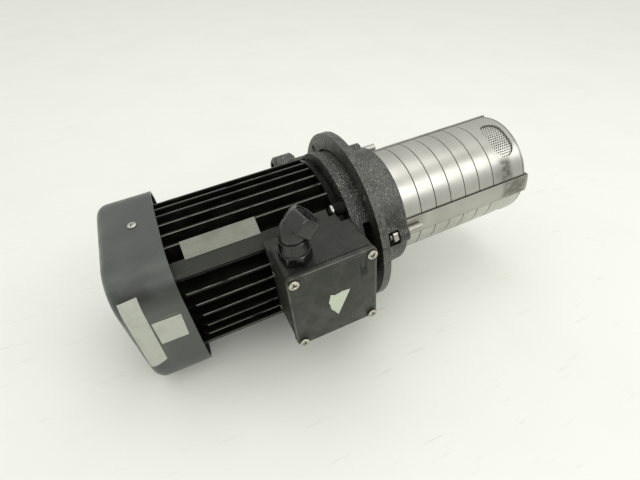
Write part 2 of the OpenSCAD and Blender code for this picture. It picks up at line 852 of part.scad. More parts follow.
module gland_locknut() {
    color("#3a3a37")
    difference() {
        at_gland(box_top - box_wall - cast_t * 3 / 4)
            cylinder(h = cast_t * 3 / 4, r = gland_flats * hex_share, $fn = 6);
        at_gland(0) cylinder(h = box_top, r = thread_r + seat_gap);
    }
}

// The upper and the lower leg between collar and flange, drawn in Y and Z.
module leg_section() {
    intersection() {
        difference() {
            circle(r = collar_r - cast_t / 3);
            circle(r = stool_bore - cast_t / 2);
        }
        for (turn = [leg_turn, leg_turn + 2 * side_step])
            rotate([0, 0, turn])
                polygon([[0, 0],
                    [2 * collar_r, -2 * collar_r * tan(leg_half_turn)],
                    [2 * collar_r, 2 * collar_r * tan(leg_half_turn)]]);
    }
}

// The head's solid form: collar, legs, flange, neck, ears and the outlet with its arm and riser.
module head_form() {
    along(-head_front) linear_extrude(height = collar_t)
        difference() {
            circle(r = collar_r);
            circle(r = stool_bore - cast_t);
        }
    along(-window_back - overrun / 2)
        linear_extrude(height = window_back + overrun / 2 - plate_t) leg_section();
    turned([
        [0, -flange_t / 2],
        [collar_r, -flange_t / 2],
        [collar_r, -flange_t],
        [flange_r, -flange_t],
        [flange_r, 0],
        [neck_r + neck_taper, 0],
        [neck_r, neck_len],
        [0, neck_len]]);
    around(strap_n, strap_turn)
        translate([0, stud_reach, 0])
            disc(neck_len - ear_t, neck_len - plate_t / 3, ear_r);
    translate([0, outlet_y, outlet_z]) {
        turned([
            [0, -outlet_end],
            [outlet_r - outlet_edge, -outlet_end],
            [outlet_r, -outlet_end + outlet_edge],
            [outlet_r, -outlet_end + outlet_head - outlet_edge],
            [outlet_r - outlet_edge, -outlet_end + outlet_head],
            [0, -outlet_end + outlet_head]]);
        disc(-outlet_end + outlet_head / 2, -flange_t - plate_t, arm_r + plate_t);
    }
    rotate([outlet_turn, 0, 0]) {
        translate([arm_x, stool_bore, 0]) rotate([-90, 0, 0])
            cylinder(h = outlet_reach - stool_bore, r = arm_r);
        translate([0, riser_reach, 0]) disc(-head_front + cast_t / 2, neck_len / 2, riser_r);
    }
}

module neck_cavity() {
    turned([
        [0, seal_wall_end],
        [neck_bore - cast_t / 3, seal_wall_end],
        [neck_bore, seal_wall_end + cast_t / 3],
        [neck_bore, neck_len + overrun],
        [0, neck_len + overrun]]);
}

// The way the coolant takes from the neck through riser and arm to the outlet.
module head_waterway() {
    translate([0, outlet_y, outlet_z]) {
        disc(-outlet_end - overrun, -outlet_end + outlet_head - cast_t / 3, outlet_bore);
        disc(-outlet_end + outlet_head / 2, arm_x + arm_bore / 2, arm_bore * 7 / 6);
    }
    rotate([outlet_turn, 0, 0]) {
        translate([arm_x, riser_reach, 0]) rotate([-90, 0, 0])
            cylinder(h = outlet_reach - riser_reach, r = arm_bore);
        translate([0, riser_reach, 0])
            disc(arm_x, seal_wall_end + arm_bore * 7 / 6, riser_bore);
        translate([seal_wall_end + arm_bore * 7 / 6, stool_bore - cast_t, 0])
            rotate([-90, 0, 0])
                cylinder(h = riser_reach - stool_bore + cast_t, r = arm_bore * 7 / 8);
    }
}

module head_holes() {
    around(tank_hole_n, corner_turn + head_turn)
        translate([0, tank_circle_r, 0]) disc(-flange_t - overrun, overrun, tank_hole_r);
    around(side_n, bolt_turn)
        translate([0, corner_bolt_reach, 0])
            disc(-housing_front, -window_back - overrun, corner_bolt_r + seat_gap);
}

// The pockets of the strap nuts and the holes of the studs.
module strap_pockets() {
    around(strap_n, strap_turn)
        translate([0, stud_reach, 0]) {
            disc(neck_len - ear_t - cast_t * 5 / 2, neck_len - ear_t, pocket_r);
            translate([neck_len - ear_t - cast_t * 5 / 2, 0, -pocket_r + plate_t / 5])
                cube([cast_t * 5 / 2, pocket_r * 2, 2 * (pocket_r - plate_t / 5)]);
            disc(0, neck_len + overrun, stud_r + seat_gap * 4);
        }
}

module pump_head() {
    color("#1c1c1b")
    difference() {
        difference() {
            head_form();
            disc(-head_front - overrun, seal_wall_x, stool_bore);
            disc(0, neck_len, shaft_r + cast_t);
            neck_cavity();
            head_waterway();
        }
        head_holes();
        strap_pockets();
    }
}

module coupling_half() {
    difference() {
        disc(coupling_x, coupling_x + coupling_len, coupling_r);
        disc(coupling_x - overrun, coupling_x + coupling_len + overrun, shaft_r);
        translate([coupling_x - overrun, -coupling_r * 2, -coupling_r * 2])
            cube([coupling_len + 2 * overrun, coupling_r * 4, coupling_r * 2 + clamp_gap / 2]);
        at_clamps() translate([0, 0, -coupling_r])
            cylinder(h = coupling_r * 2, r = tie_r);
        at_clamps() translate([0, 0, coupling_r / 2]) cylinder(h = coupling_r, r = tie_r * 2);
    }
}

module at_clamps() {
    for (u = [-1, 1], v = [-1, 1])
        translate([shaft_joint + u * coupling_len / 4, v * (shaft_r + tie_r * 2), 0]) children();
}

module coupling_upper() {
    color("#8d9093")
    coupling_half();
}

module coupling_lower() {
    color("#8d9093")
    mirror([0, 0, 1]) coupling_half();
}

module coupling_screws() {
    color("#3c3c3c")
    at_clamps() {
        translate([0, 0, -coupling_r * 2 / 3]) cylinder(h = coupling_r * 7 / 6, r = tie_r - seat_gap);
        translate([0, 0, coupling_r / 2]) cylinder(h = tie_r, r = tie_r * 2 - seat_gap);
    }
}

module seal_seat() {
    color("#e3ddcf")
    ring(seal_wall_x + plate_t, seal_wall_end, shaft_r + cast_t - seat_gap, shaft_r + turn_gap);
}

module seal_ring() {
    color("#39393b")
    ring(seal_wall_end + seat_gap, seal_wall_end + cast_t, shaft_r + cast_t * 2 / 3, shaft_r);
}

module seal_spring() {
    color("silver")
    ring(seal_wall_end + cast_t + seat_gap, seal_wall_end + cast_t * 7 / 3,
        shaft_r + cast_t / 2, shaft_r);
}

module pump_shaft() {
    color("silver")
    turned([
        [0, shaft_joint + seat_gap],
        [shaft_r, shaft_joint + seat_gap],
        [shaft_r, end_x - cast_t / 2],
        [shaft_r - plate_t, end_x - cast_t / 4],
        [0, end_x - cast_t / 4]]);
}

// A sleeve of the stack with bevelled rims, so that a joint line shows between sleeves.
module sleeve(x0, x1) {
    turned([
        [stack_r - sleeve_t, x0],
        [stack_r - joint_depth, x0],
        [stack_r, x0 + joint_depth],
        [stack_r, x1 - joint_depth],
        [stack_r - joint_depth, x1],
        [stack_r - sleeve_t, x1]]);
}

module top_ring() {
    color("#c8cbc9")
    union() {
        sleeve(neck_len, chamber_x);
        ring(chamber_x - cast_t - plate_t, chamber_x - cast_t, stack_r - sleeve_t / 2,
            shaft_r + cast_t * 3 / 4 + seat_gap * 2);
    }
}

module bush(x0, x1, outer) {
    difference() {
        disc(x0, x1, outer);
        disc(x0 - overrun, x1 + overrun, shaft_r + run_play);
    }
}

module top_bush() {
    color("#8a6f3a")
    difference() {
        union() {
            bush(chamber_x - cast_t * 2, chamber_x - cast_t, shaft_r + cast_t * 3 / 4);
            bush(chamber_x - cast_t * 2, chamber_x - cast_t - plate_t, shaft_r + cast_t);
        }
    }
}

// One chamber: sleeve, floor with the impeller's neck hole, and guide vanes round it.
module chamber(i) {
    x0 = chamber_x + i * chamber_len;
    x1 = x0 + chamber_len;
    color("#c8cbc9")
    union() {
        sleeve(x0, x1);
        ring(x1 - plate_t, x1 - plate_t / 3, stack_r - sleeve_t / 2, neck_ring_r + turn_gap);
        intersection() {
            ring(x0 + plate_t, x1 - plate_t / 2, stack_r - sleeve_t / 2,
                impeller_r + plate_t * 2);
            around(diffuser_n, 360 / diffuser_n / 2)
                translate([0, impeller_r + cast_t, -vane_bend_r])
                    ring(x0 + plate_t, x1, vane_bend_r + plate_t, vane_bend_r);
        }
    }
}

module chamber_1() { chamber(0); }
module chamber_2() { chamber(1); }
module chamber_3() { chamber(2); }
module chamber_4() { chamber(3); }
module chamber_5() { chamber(4); }

// One impeller: hub, two shrouds with swept vanes between them, and the inlet neck.
module impeller(i) {
    x0 = chamber_x + i * chamber_len;
    back = x0 + plate_t * 2;
    front = x0 + chamber_len - cast_t;
    color("#a9adad")
    difference() {
        union() {
            disc(back, front, hub_r);
            disc(back, back + plate_t, impeller_r);
            ring(front - plate_t, front, impeller_r, eye_r);
            ring(front - plate_t, x0 + chamber_len - plate_t / 3, neck_ring_r, eye_r);
            intersection() {
                ring(back + plate_t / 2, front - plate_t / 2, impeller_r, hub_r - plate_t / 3);
                around(vane_n, 0)
                    translate([0, vane_bend_r + hub_r / 2, 0])
                        intersection() {
                            ring(back, front, vane_bend_r + plate_t / 2,
                                vane_bend_r - plate_t / 2);
                            translate([back, -2 * vane_bend_r, 0])
                                cube([front - back, 4 * vane_bend_r, 2 * vane_bend_r]);
                        }
            }
        }
        disc(x0, x0 + chamber_len, shaft_r);
    }
}

module impeller_1() { impeller(0); }
module impeller_2() { impeller(1); }
module impeller_3() { impeller(2); }
module impeller_4() { impeller(3); }
module impeller_5() { impeller(4); }

module impeller_spacers() {
    color("silver")
    for (i = [1:chamber_n - 1])
        ring(chamber_x + i * chamber_len - cast_t + seat_gap,
            chamber_x + i * chamber_len + plate_t * 2 - seat_gap, hub_r - plate_t / 3, shaft_r);
}

module impeller_nut() {
    color("silver")
    difference() {
        hex_bar(inlet_x - cast_t + seat_gap, inlet_x + cast_t / 3, shaft_r * 2 + cast_t);
        disc(inlet_x - cast_t * 2, inlet_x + cast_t, shaft_r);
    }
}

// The cutter of one inlet window, round-ended, that points outwards along Y.
module window_cut() {
    r = window_len / 2;
    translate([end_x - cast_t * 5 / 6 - r, stack_r / 2, 0]) rotate([-90, 0, 0]) {
        translate([-r, -window_w / 2 + r, 0]) cube([window_len, window_w - window_len, stack_r]);
        for (s = [-1, 1])
            translate([0, s * (window_w / 2 - r), 0]) cylinder(h = stack_r, r = r);
    }
}

module inlet_sleeve() {
    color("#c8cbc9")
    difference() {
        sleeve(inlet_x, end_x);
        around(strap_n, window_turn) window_cut();
    }
}

module strainer_sheet() {
    color("#9a9d9a")
    difference() {
        ring(inlet_x + cast_t / 3, end_x - seat_gap, sheet_r, sheet_r - plate_t / 2);
        around(strap_n, window_turn)
            for (i = [0:hole_rows - 1], j = [0:hole_columns - 1])
                rotate([(j - (hole_columns - 1) / 2) * hole_pitch / stack_r * 180 / PI, 0, 0])
                    translate([end_x - cast_t * 5 / 6 - window_len + (i + 1) * hole_pitch,
                        stack_r / 2, 0]) rotate([-90, 0, 0])
                        cylinder(h = stack_r, r = sheet_hole_r, $fn = 24);
    }
}

module end_plate() {
    color("#b9bcb9")
    difference() {
        turned([
            [0, end_x],
            [stack_r, end_x],
            [stack_r, end_x + end_t / 3],
            [stack_r - end_t * 2 / 3, stack_end],
            [0, stack_end]]);
        disc(end_x - overrun, end_x + end_t / 3, shaft_r + cast_t * 3 / 4 + seat_gap);
    }
}

module end_bush() {
    color("#8a6f3a")
    difference() {
        disc(end_x - cast_t * 4 / 3, end_x + end_t / 3, shaft_r + cast_t * 3 / 4);
        disc(end_x - cast_t * 2, end_x + end_t, shaft_r + run_play);
    }
}

module straps() {
    color("#d3d6d4")
    around(strap_n, strap_turn)
        difference() {
            union() {
                intersection() {
                    union() {
                        ring(strap_x, stack_end + strap_t, stack_r + strap_t, stack_r);
                        ring(stack_end, stack_end + strap_t, stack_r + strap_t,
                            stack_r * 3 / 4);
                    }
                    translate([strap_x, 0, -strap_w / 2])
                        cube([stack_end, stack_r * 2, strap_w]);
                }
                translate([0, stud_reach - plate_t / 6, 0]) disc(stud_x0, stud_x1, stud_r);
            }
            // the stud is cut clear of the sleeves under it
            disc(0, stack_end, stack_r);
        }
}

module strap_nuts() {
    color("#cfcfc8")
    around(strap_n, strap_turn)
        difference() {
            translate([0, stud_reach - plate_t / 6, 0])
                hex_bar(neck_len - ear_t - strap_nut_t, neck_len - ear_t, strap_nut_flats);
            translate([0, stud_reach - plate_t / 6, 0]) disc(0, neck_len, stud_r + seat_gap / 2);
        }
}

fan_cover();
fan_cover_screws();
cooling_fan();
rear_end_shield();
tie_bolts();
rear_bearing_outer();
rear_bearing_inner();
motor_housing();
stator_core();
stator_windings();
rotor_core();
motor_shaft();
front_bearing_outer();
front_bearing_inner();
front_end_shield();
corner_bolts();
nameplate();
terminal_box_base();
lid_gasket();
terminal_box_lid();
lid_screws();
terminal_block();
terminal_studs();
gland_elbow();
gland_nut();
gland_seal();
gland_locknut();
pump_head();
coupling_upper();
coupling_lower();
coupling_screws();
seal_seat();
seal_ring();
seal_spring();
pump_shaft();
top_ring();
top_bush();
chamber_1();
chamber_2();
chamber_3();
chamber_4();
chamber_5();
impeller_1();
impeller_2();
impeller_3();
impeller_4();
impeller_5();
impeller_spacers();
impeller_nut();
inlet_sleeve();
strainer_sheet();
end_plate();
end_bush();
straps();
strap_nuts();
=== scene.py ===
"""Coolant pump lying on a table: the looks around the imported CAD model."""

import json
import math
import random

import bmesh
import bpy
from mathutils import Matrix, Vector


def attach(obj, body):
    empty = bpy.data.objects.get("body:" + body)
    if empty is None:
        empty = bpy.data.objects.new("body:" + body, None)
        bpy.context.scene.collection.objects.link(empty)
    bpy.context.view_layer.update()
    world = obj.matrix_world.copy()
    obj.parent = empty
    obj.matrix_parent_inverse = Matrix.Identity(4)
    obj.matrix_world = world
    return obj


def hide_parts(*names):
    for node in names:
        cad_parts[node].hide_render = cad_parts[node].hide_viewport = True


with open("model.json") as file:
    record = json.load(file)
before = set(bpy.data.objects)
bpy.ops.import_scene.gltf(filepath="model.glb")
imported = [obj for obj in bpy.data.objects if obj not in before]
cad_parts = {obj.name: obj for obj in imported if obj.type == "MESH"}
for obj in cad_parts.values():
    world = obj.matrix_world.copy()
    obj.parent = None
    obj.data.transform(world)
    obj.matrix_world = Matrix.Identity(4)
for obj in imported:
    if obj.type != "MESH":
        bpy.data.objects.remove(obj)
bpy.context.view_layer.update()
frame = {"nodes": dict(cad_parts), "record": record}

MM = 0.001
TAU = 2 * math.pi
rng = random.Random(7)

# Sizes of the CAD model in millimetres and degrees, about the shaft's axis X
CHAMBER_X = 57.2
CHAMBER_LEN = 18.0
SLEEVE_BORE = 53.9
STRAP_TURN = 54.0
STRAP_STEP = 120.0
STRAP_HALF = 10.27
FLANGE_R = 90.0
FLANGE_T = 7.8
COVER_HALF = 70.5
COVER_CORNER = 35.0
COVER_EDGE = 11.0
COVER_ROUND_X = -221.0
COVER_SCREW_X = -201.0
FIN_PITCH = 13.0
FIN_REACH = 67.2
LAST_FIN = 32.5
LAST_FIN_DROP = 4.2
HEAD_BOLT_X = -35.0
HEAD_BOLT_R = 67.0
HEAD_BOLT_TURN = 41.0
LID_MID = Vector((-65.5, 0, 11.6))
LID_HALF_X = 39.6
LID_HALF_Z = 43.6
LID_CORNER = 5.6
LID_BACK = -104.0
LID_FACE = -109.0
LID_SCREW_X = 34.0
LID_SCREW_Z = 38.0
BOX_TOP = 55.2

# This script's own sizes: the punched sheet's outside and thickness, the lid's soft shoulder
# and bevel, the side reach of the fins' paint, and the width plus height past which the
# corner strips' paint starts
SHEET_R = 53.5
SHEET_T = 0.6
LID_SHOULDER = -106.8
LID_BEVEL = 1.4
FIN_ROW_HALF = 34.5
STRIP_REACH = 96.5


def grey(value):
    """A grey with the faint olive cast that the photograph's greys have."""
    return (value, value * 1.05, value * 0.84)


def scaled(colour, share):
    """A lighter or darker colour of the same hue."""
    return [c * share for c in colour]


# Materials


class Surface:
    """A node material whose textures are placed in the object's own metres."""

    COAT_ROUGH = 0.12
    NOISE_LOW = 0.3
    NOISE_HIGH = 0.7

    def __init__(self, name, colour, rough, metal=0.0, coat=0.0, spec=0.5):
        self.material = bpy.data.materials.new(name)
        self.material.use_nodes = True
        self.tree = self.material.node_tree
        self.shader = self.tree.nodes["Principled BSDF"]
        self.colour = colour
        self.set("Base Color", (*colour, 1))
        self.set("Roughness", rough)
        self.set("Metallic", metal)
        self.set("Coat Weight", coat)
        self.set("Coat Roughness", self.COAT_ROUGH)
        self.set("Specular IOR Level", spec)
        self.where = self.tree.nodes.new("ShaderNodeTexCoord").outputs["Object"]
        self.normal = None

    def set(self, socket, value):
        """Sets one of the shader's values."""
        self.shader.inputs[socket].default_value = value

    def link(self, a, b):
        """Joins an output to an input."""
        self.tree.links.new(a, b)

    def math(self, operation, a, b=0.0):
        """One step of arithmetic on sockets or plain numbers."""
        node = self.tree.nodes.new("ShaderNodeMath")
        node.operation = operation
        for socket, value in zip(node.inputs, (a, b)):
            if isinstance(value, (int, float)):
                socket.default_value = value
            else:
                self.link(value, socket)
        return node.outputs[0]

    def product(self, *values):
        """All the sockets multiplied."""
        result = values[0]
        for value in values[1:]:
            result = self.math("MULTIPLY", result, value)
        return result

    def axes(self):
        """The sockets of X, Y and Z in metres."""
        node = self.tree.nodes.new("ShaderNodeSeparateXYZ")
        self.link(self.where, node.inputs[0])
        return node.outputs

    def polar(self):
        """Distance from the shaft's axis in metres, and the angle from Y to Z in degrees."""
        y, z = self.axes()[1:]
        squares = self.math("ADD", self.math("MULTIPLY", y, y), self.math("MULTIPLY", z, z))
        turn = self.math("MULTIPLY", self.math("ARCTAN2", z, y), 360 / TAU)
        return self.math("SQRT", squares), self.math("FLOORED_MODULO", turn, 360.0)

    def mapped(self, size, stretch, lift, turn):
        """The place in features of size metres, moved by lift and turned."""
        place = self.tree.nodes.new("ShaderNodeMapping")
        place.inputs["Scale"].default_value = [1 / (size * s) for s in stretch]
        place.inputs["Location"].default_value = (lift, lift, lift)
        place.inputs["Rotation"].default_value = turn
        self.link(self.where, place.inputs["Vector"])
        return place.outputs[0]

    def noise(self, size, detail=2.0, stretch=(1, 1, 1), rough=0.5, lift=0.0, turn=(0, 0, 0)):
        """Noise with features of about size metres, drawn out by stretch."""
        node = self.tree.nodes.new("ShaderNodeTexNoise")
        node.inputs["Scale"].default_value = 1.0
        node.inputs["Detail"].default_value = detail
        node.inputs["Roughness"].default_value = rough
        self.link(self.mapped(size, stretch, lift, turn), node.inputs["Vector"])
        return node.outputs["Fac"]

    def spread(self, value, low, high, to_low=0.0, to_high=1.0):
        """A soft step: to_low up to low, to_high from high on."""
        node = self.tree.nodes.new("ShaderNodeMapRange")
        node.interpolation_type = "SMOOTHSTEP"
        keys = ("From Min", "From Max", "To Min", "To Max")
        for key, number in zip(keys, (low, high, to_low, to_high)):
            node.inputs[key].default_value = number
        self.link(value, node.inputs["Value"])
        return node.outputs["Result"]

    def between(self, value, low, high, soft):
        """One between low and high, fading out over soft on both sides."""
        rise = self.spread(value, low - soft, low + soft)
        return self.math("MULTIPLY", rise, self.spread(value, high - soft, high + soft, 1.0, 0.0))

    def region(self, **spans):
        """One within all the spans, each given as its low end, its high end and their softness.

        Spans of x, y, z and radius are in millimetres, and a span of turn is in degrees.
        """
        places = dict(zip("xyz", self.axes()))
        if "radius" in spans or "turn" in spans:
            places["radius"], places["turn"] = self.polar()
        parts = []
        for key, span in spans.items():
            unit = 1 if key == "turn" else MM
            parts.append(self.between(places[key], *[number * unit for number in span]))
        return self.product(*parts)

    def mix(self, fac, colour, limit=1.0):
        """Blends another colour over the base by fac."""
        node = self.tree.nodes.new("ShaderNodeMix")
        node.data_type = "RGBA"
        if limit < 1:
            fac = self.math("MULTIPLY", fac, limit)
        self.link(fac, node.inputs["Factor"])
        was = self.shader.inputs["Base Color"]
        if was.is_linked:
            self.link(was.links[0].from_socket, node.inputs["A"])
        else:
            node.inputs["A"].default_value = (*self.colour, 1)
        node.inputs["B"].default_value = (*colour, 1)
        self.link(node.outputs["Result"], was)

    def rougher(self, noise, low, high):
        """Lets roughness run from low to high with noise."""
        value = self.spread(noise, self.NOISE_LOW, self.NOISE_HIGH, low, high)
        self.link(value, self.shader.inputs["Roughness"])

    def rougher_where(self, fac, value):
        """Blends the roughness to value by fac, after rougher()."""
        was = self.shader.inputs["Roughness"]
        node = self.tree.nodes.new("ShaderNodeMix")
        self.link(fac, node.inputs["Factor"])
        self.link(was.links[0].from_socket, node.inputs["A"])
        node.inputs["B"].default_value = value
        self.link(node.outputs["Result"], was)

    def bump(self, height, depth, strength=1.0):
        """Adds relief of about depth metres, over any relief so far."""
        node = self.tree.nodes.new("ShaderNodeBump")
        node.inputs["Strength"].default_value = strength
        node.inputs["Distance"].default_value = depth
        self.link(height, node.inputs["Height"])
        if self.normal is not None:
            self.link(self.normal, node.inputs["Normal"])
        self.normal = node.outputs["Normal"]
        self.link(self.normal, self.shader.inputs["Normal"])
        return self


def moulded_cover():
    """Dark grey moulding with a painted highlight along one corner, painted shade below it, and a
    dark smudge.
    """
    s = Surface("moulded_cover", (0.054, 0.06, 0.054), 0.32, spec=0.55)
    y = s.axes()[1]
    # dust in broad and in small patches
    s.mix(s.spread(s.noise(45 * MM, 3), 0.35, 0.7), (0.07, 0.077, 0.069))
    s.mix(s.spread(s.noise(9 * MM, 6, rough=0.7, lift=3), 0.6, 0.75), grey(0.12), 0.3)
    # scratches along the shaft and up the sides
    s.mix(s.spread(s.noise(0.4 * MM, 8, (120, 1, 14), lift=5), 0.66, 0.7), grey(0.18), 0.3)
    s.mix(s.spread(s.noise(0.35 * MM, 6, (20, 14, 160), lift=8), 0.67, 0.71), grey(0.16), 0.25)
    # a painted highlight along the corner, painted shade on the face below its edge, and the smudge
    worn = s.product(
        s.region(y=(-58, -42, 6), z=(58, 68, 3)),
        s.spread(s.noise(14 * MM, 3, (2, 1, 1), lift=16), 0.3, 0.6))
    s.mix(worn, (0.12, 0.128, 0.116), 0.6)
    # painted shade: the near face below the corner's edge made darker
    shade = s.product(s.region(z=(38, 56, 7)), s.spread(y, -62 * MM, -56 * MM, 1, 0))
    s.mix(shade, (0.026, 0.029, 0.025), 0.65)
    smudge = s.product(
        s.region(x=(-224, -200, 6), z=(46, 59, 5)), s.spread(y, -58 * MM, -50 * MM, 1, 0),
        s.spread(s.noise(11 * MM, 3, lift=6), 0.2, 0.5))
    s.mix(smudge, grey(0.01), 0.85)
    s.rougher(s.noise(14 * MM, 4, lift=1), 0.27, 0.4)
    s.bump(s.noise(0.45 * MM, 3), 0.04 * MM, 0.7)
    return s.bump(s.noise(25 * MM, 1), 0.2 * MM, 0.5).material


def housing_paint():
    """Black paint on the extrusion, with a painted sheen on the fins' tips and painted highlight
    lines on their edges.
    """
    s = Surface("housing_paint", grey(0.003), 0.36, spec=0.14)
    y, z = s.axes()[1:]
    wide = s.math("ABSOLUTE", y)
    low = s.math("ABSOLUTE", z)
    tall = s.math("MAXIMUM", wide, low)
    side = s.math("MINIMUM", wide, low)
    # the fins' tips, which fall away from the middle of each side
    share = s.math("DIVIDE", side, LAST_FIN * MM)
    drop = s.math("MULTIPLY", s.math("POWER", share, 2.0), LAST_FIN_DROP * MM)
    tip = s.math("SUBTRACT", FIN_REACH * MM, drop)
    top = s.spread(s.math("SUBTRACT", tall, tip), -0.5 * MM, -0.2 * MM)
    # one edge of each tip, painted light as a thin highlight line that is broken in places
    past = s.math("SUBTRACT", s.math("MODULO", side, FIN_PITCH * MM), FIN_PITCH / 2 * MM)
    edge = s.spread(past, 0.5 * MM, 0.72 * MM)
    inner = s.spread(side, (FIN_ROW_HALF - 0.5) * MM, (FIN_ROW_HALF + 0.5) * MM, 1, 0)
    highlight_breaks = s.spread(s.noise(2.5 * MM, 4, (6, 1, 1), lift=6), 0.3, 0.5)
    s.mix(s.spread(s.noise(30 * MM, 4), 0.4, 0.7), grey(0.008))
    s.mix(s.spread(s.noise(1.6 * MM, 5, (8, 1, 1), lift=2), 0.63, 0.7), grey(0.08), 0.2)
    # painted sheen: the fins' tips made lighter than the rest of the paint
    s.mix(s.product(top, inner), grey(0.012), 0.8)
    s.mix(s.product(top, inner, edge, highlight_breaks), grey(0.27), 0.95)
    # the smooth strips at the corners
    reach = s.math("ADD", wide, low)
    strip = s.spread(reach, (STRIP_REACH - 0.5) * MM, (STRIP_REACH + 0.5) * MM)
    worn = s.spread(s.noise(3 * MM, 5, (9, 1, 1), lift=8), 0.6, 0.7)
    s.mix(strip, grey(0.044), 0.85)
    s.mix(s.product(strip, worn), grey(0.09), 0.4)
    s.rougher(s.noise(12 * MM, 4, lift=4), 0.28, 0.44)
    s.bump(s.noise(0.8 * MM, 3), 0.03 * MM, 0.6)
    return s.bump(s.noise(0.3 * MM, 1, (400, 1, 1)), 0.02 * MM, 0.5).material


def shield_paint():
    """Black paint on the end shields, with a little dust."""
    s = Surface("shield_paint", grey(0.002), 0.26, spec=0.06)
    s.mix(s.spread(s.noise(20 * MM, 4), 0.4, 0.7), grey(0.007))
    s.mix(s.spread(s.noise(1.3 * MM, 4, lift=3), 0.62, 0.7), grey(0.09), 0.25)
    s.rougher(s.noise(9 * MM, 4), 0.2, 0.36)
    return s.bump(s.noise(1.2 * MM, 3), 0.08 * MM, 0.6).material


def cast_paint():
    """Glossy black paint over sand-cast iron: pits, pimples, dust, painted glints and a painted
    sheen.
    """
    s = Surface("cast_paint", grey(0.009), 0.3, spec=0.65)
    s.mix(s.spread(s.noise(18 * MM, 4), 0.4, 0.65), grey(0.022))
    # dust and a painted sheen on the upper near side of the neck
    neck = s.region(x=(2, 34, 4), turn=(96, 150, 14))
    s.mix(s.product(neck, s.spread(s.noise(14 * MM, 4, lift=11), 0.2, 0.6)), grey(0.085), 0.8)
    # dark pits, and bright grains in patches, which are dust and painted glints
    pits = s.spread(s.noise(1.5 * MM, 3, rough=0.65, lift=17), 0.46, 0.6)
    s.mix(pits, grey(0.004), 0.8)
    dust_and_glints = s.spread(s.noise(1.3 * MM, 3, rough=0.65, lift=7), 0.53, 0.64)
    patch = s.spread(s.noise(16 * MM, 4, lift=5), 0.34, 0.6, 0.25, 1.0)
    s.mix(s.product(dust_and_glints, patch), grey(0.36), 0.8)
    # a dark patch on the neck's near side, below its lighter band, and the flange's rubbed rim
    dark_patch = s.region(x=(9, 31, 4), turn=(146, 172, 4))
    s.mix(s.product(dark_patch, s.spread(s.noise(7 * MM, 4, lift=9), 0.4, 0.55)), grey(0.006), 0.9)
    rim = s.region(radius=(FLANGE_R - 1.2, FLANGE_R + 1, 0.4))
    s.mix(s.product(rim, s.spread(s.noise(4 * MM, 4, lift=13), 0.35, 0.6)), grey(0.1), 0.6)
    s.rougher(s.noise(2.2 * MM, 5, lift=2), 0.26, 0.46)
    s.bump(s.noise(1.3 * MM, 4, rough=0.65), 0.5 * MM, 1.0)
    return s.bump(s.noise(9 * MM, 2), 0.6 * MM, 0.4).material


def box_plastic(name, colour, dust, lid=False):
    """Dusty, scratched black plastic. The lid has rubbed edges, a streaked stain and specks too."""
    s = Surface(name, colour, 0.44, spec=0.35)
    light = scaled(dust, 2.8)
    s.mix(s.spread(s.noise(16 * MM, 5, rough=0.65), 0.42, 0.68), dust)
    s.mix(s.spread(s.noise(3.2 * MM, 6, rough=0.75, lift=4), 0.64, 0.72), scaled(dust, 2.0), 0.45)
    s.mix(s.spread(s.noise(0.35 * MM, 6, (70, 1, 9), lift=9), 0.69, 0.72), light, 0.45)
    if lid:
        x, y, z = s.axes()
        scratch = s.noise(0.3 * MM, 6, (6, 1, 80), lift=3, turn=(0, 0.5, 0))
        s.mix(s.spread(scratch, 0.69, 0.72), light, 0.4)
        # the rubbed edge round the face
        across = s.math("ABSOLUTE", s.math("SUBTRACT", x, LID_MID.x * MM))
        upward = s.math("ABSOLUTE", s.math("SUBTRACT", z, LID_MID.z * MM))
        side = s.math("SUBTRACT", across, (LID_HALF_X - LID_BEVEL) * MM)
        end = s.math("SUBTRACT", upward, (LID_HALF_Z - LID_BEVEL) * MM)
        rim = s.spread(s.math("MAXIMUM", side, end), -0.2 * MM, 0.3 * MM)
        front = s.spread(y, (LID_FACE + 1.2) * MM, (LID_FACE + 1.8) * MM, 1, 0)
        worn = s.spread(s.noise(5 * MM, 4, lift=12), 0.25, 0.6)
        s.mix(s.product(rim, front, worn), grey(0.13), 0.85)
        # a streaked stain below the upper screw at the pump's end, and pale specks
        stain = s.region(x=(-46, -35, 2.5), z=(27, 45, 4))
        streaks = s.spread(s.noise(2.2 * MM, 4, (1, 1, 5), lift=5), 0.44, 0.56)
        s.mix(s.product(stain, streaks), grey(0.006), 0.95)
        s.mix(s.spread(s.noise(0.9 * MM, 2, lift=21), 0.77, 0.8), grey(0.4), 0.7)
    s.rougher(s.noise(7 * MM, 4, lift=1), 0.36, 0.54)
    return s.bump(s.noise(0.5 * MM, 2), 0.04 * MM, 0.7).material


def gland_plastic(name, value, rough):
    """Glossy black plastic, handled and a little dusty."""
    s = Surface(name, grey(value), rough, spec=0.6)
    s.mix(s.spread(s.noise(5 * MM, 5, rough=0.7), 0.42, 0.68), grey(value * 1.4))
    s.mix(s.spread(s.noise(1.1 * MM, 5, rough=0.7, lift=3), 0.62, 0.7), grey(0.2), 0.35)
    s.rougher(s.noise(3 * MM, 4, lift=2), rough - 0.08, rough + 0.1)
    return s.bump(s.noise(0.5 * MM, 3), 0.05 * MM, 0.7).material


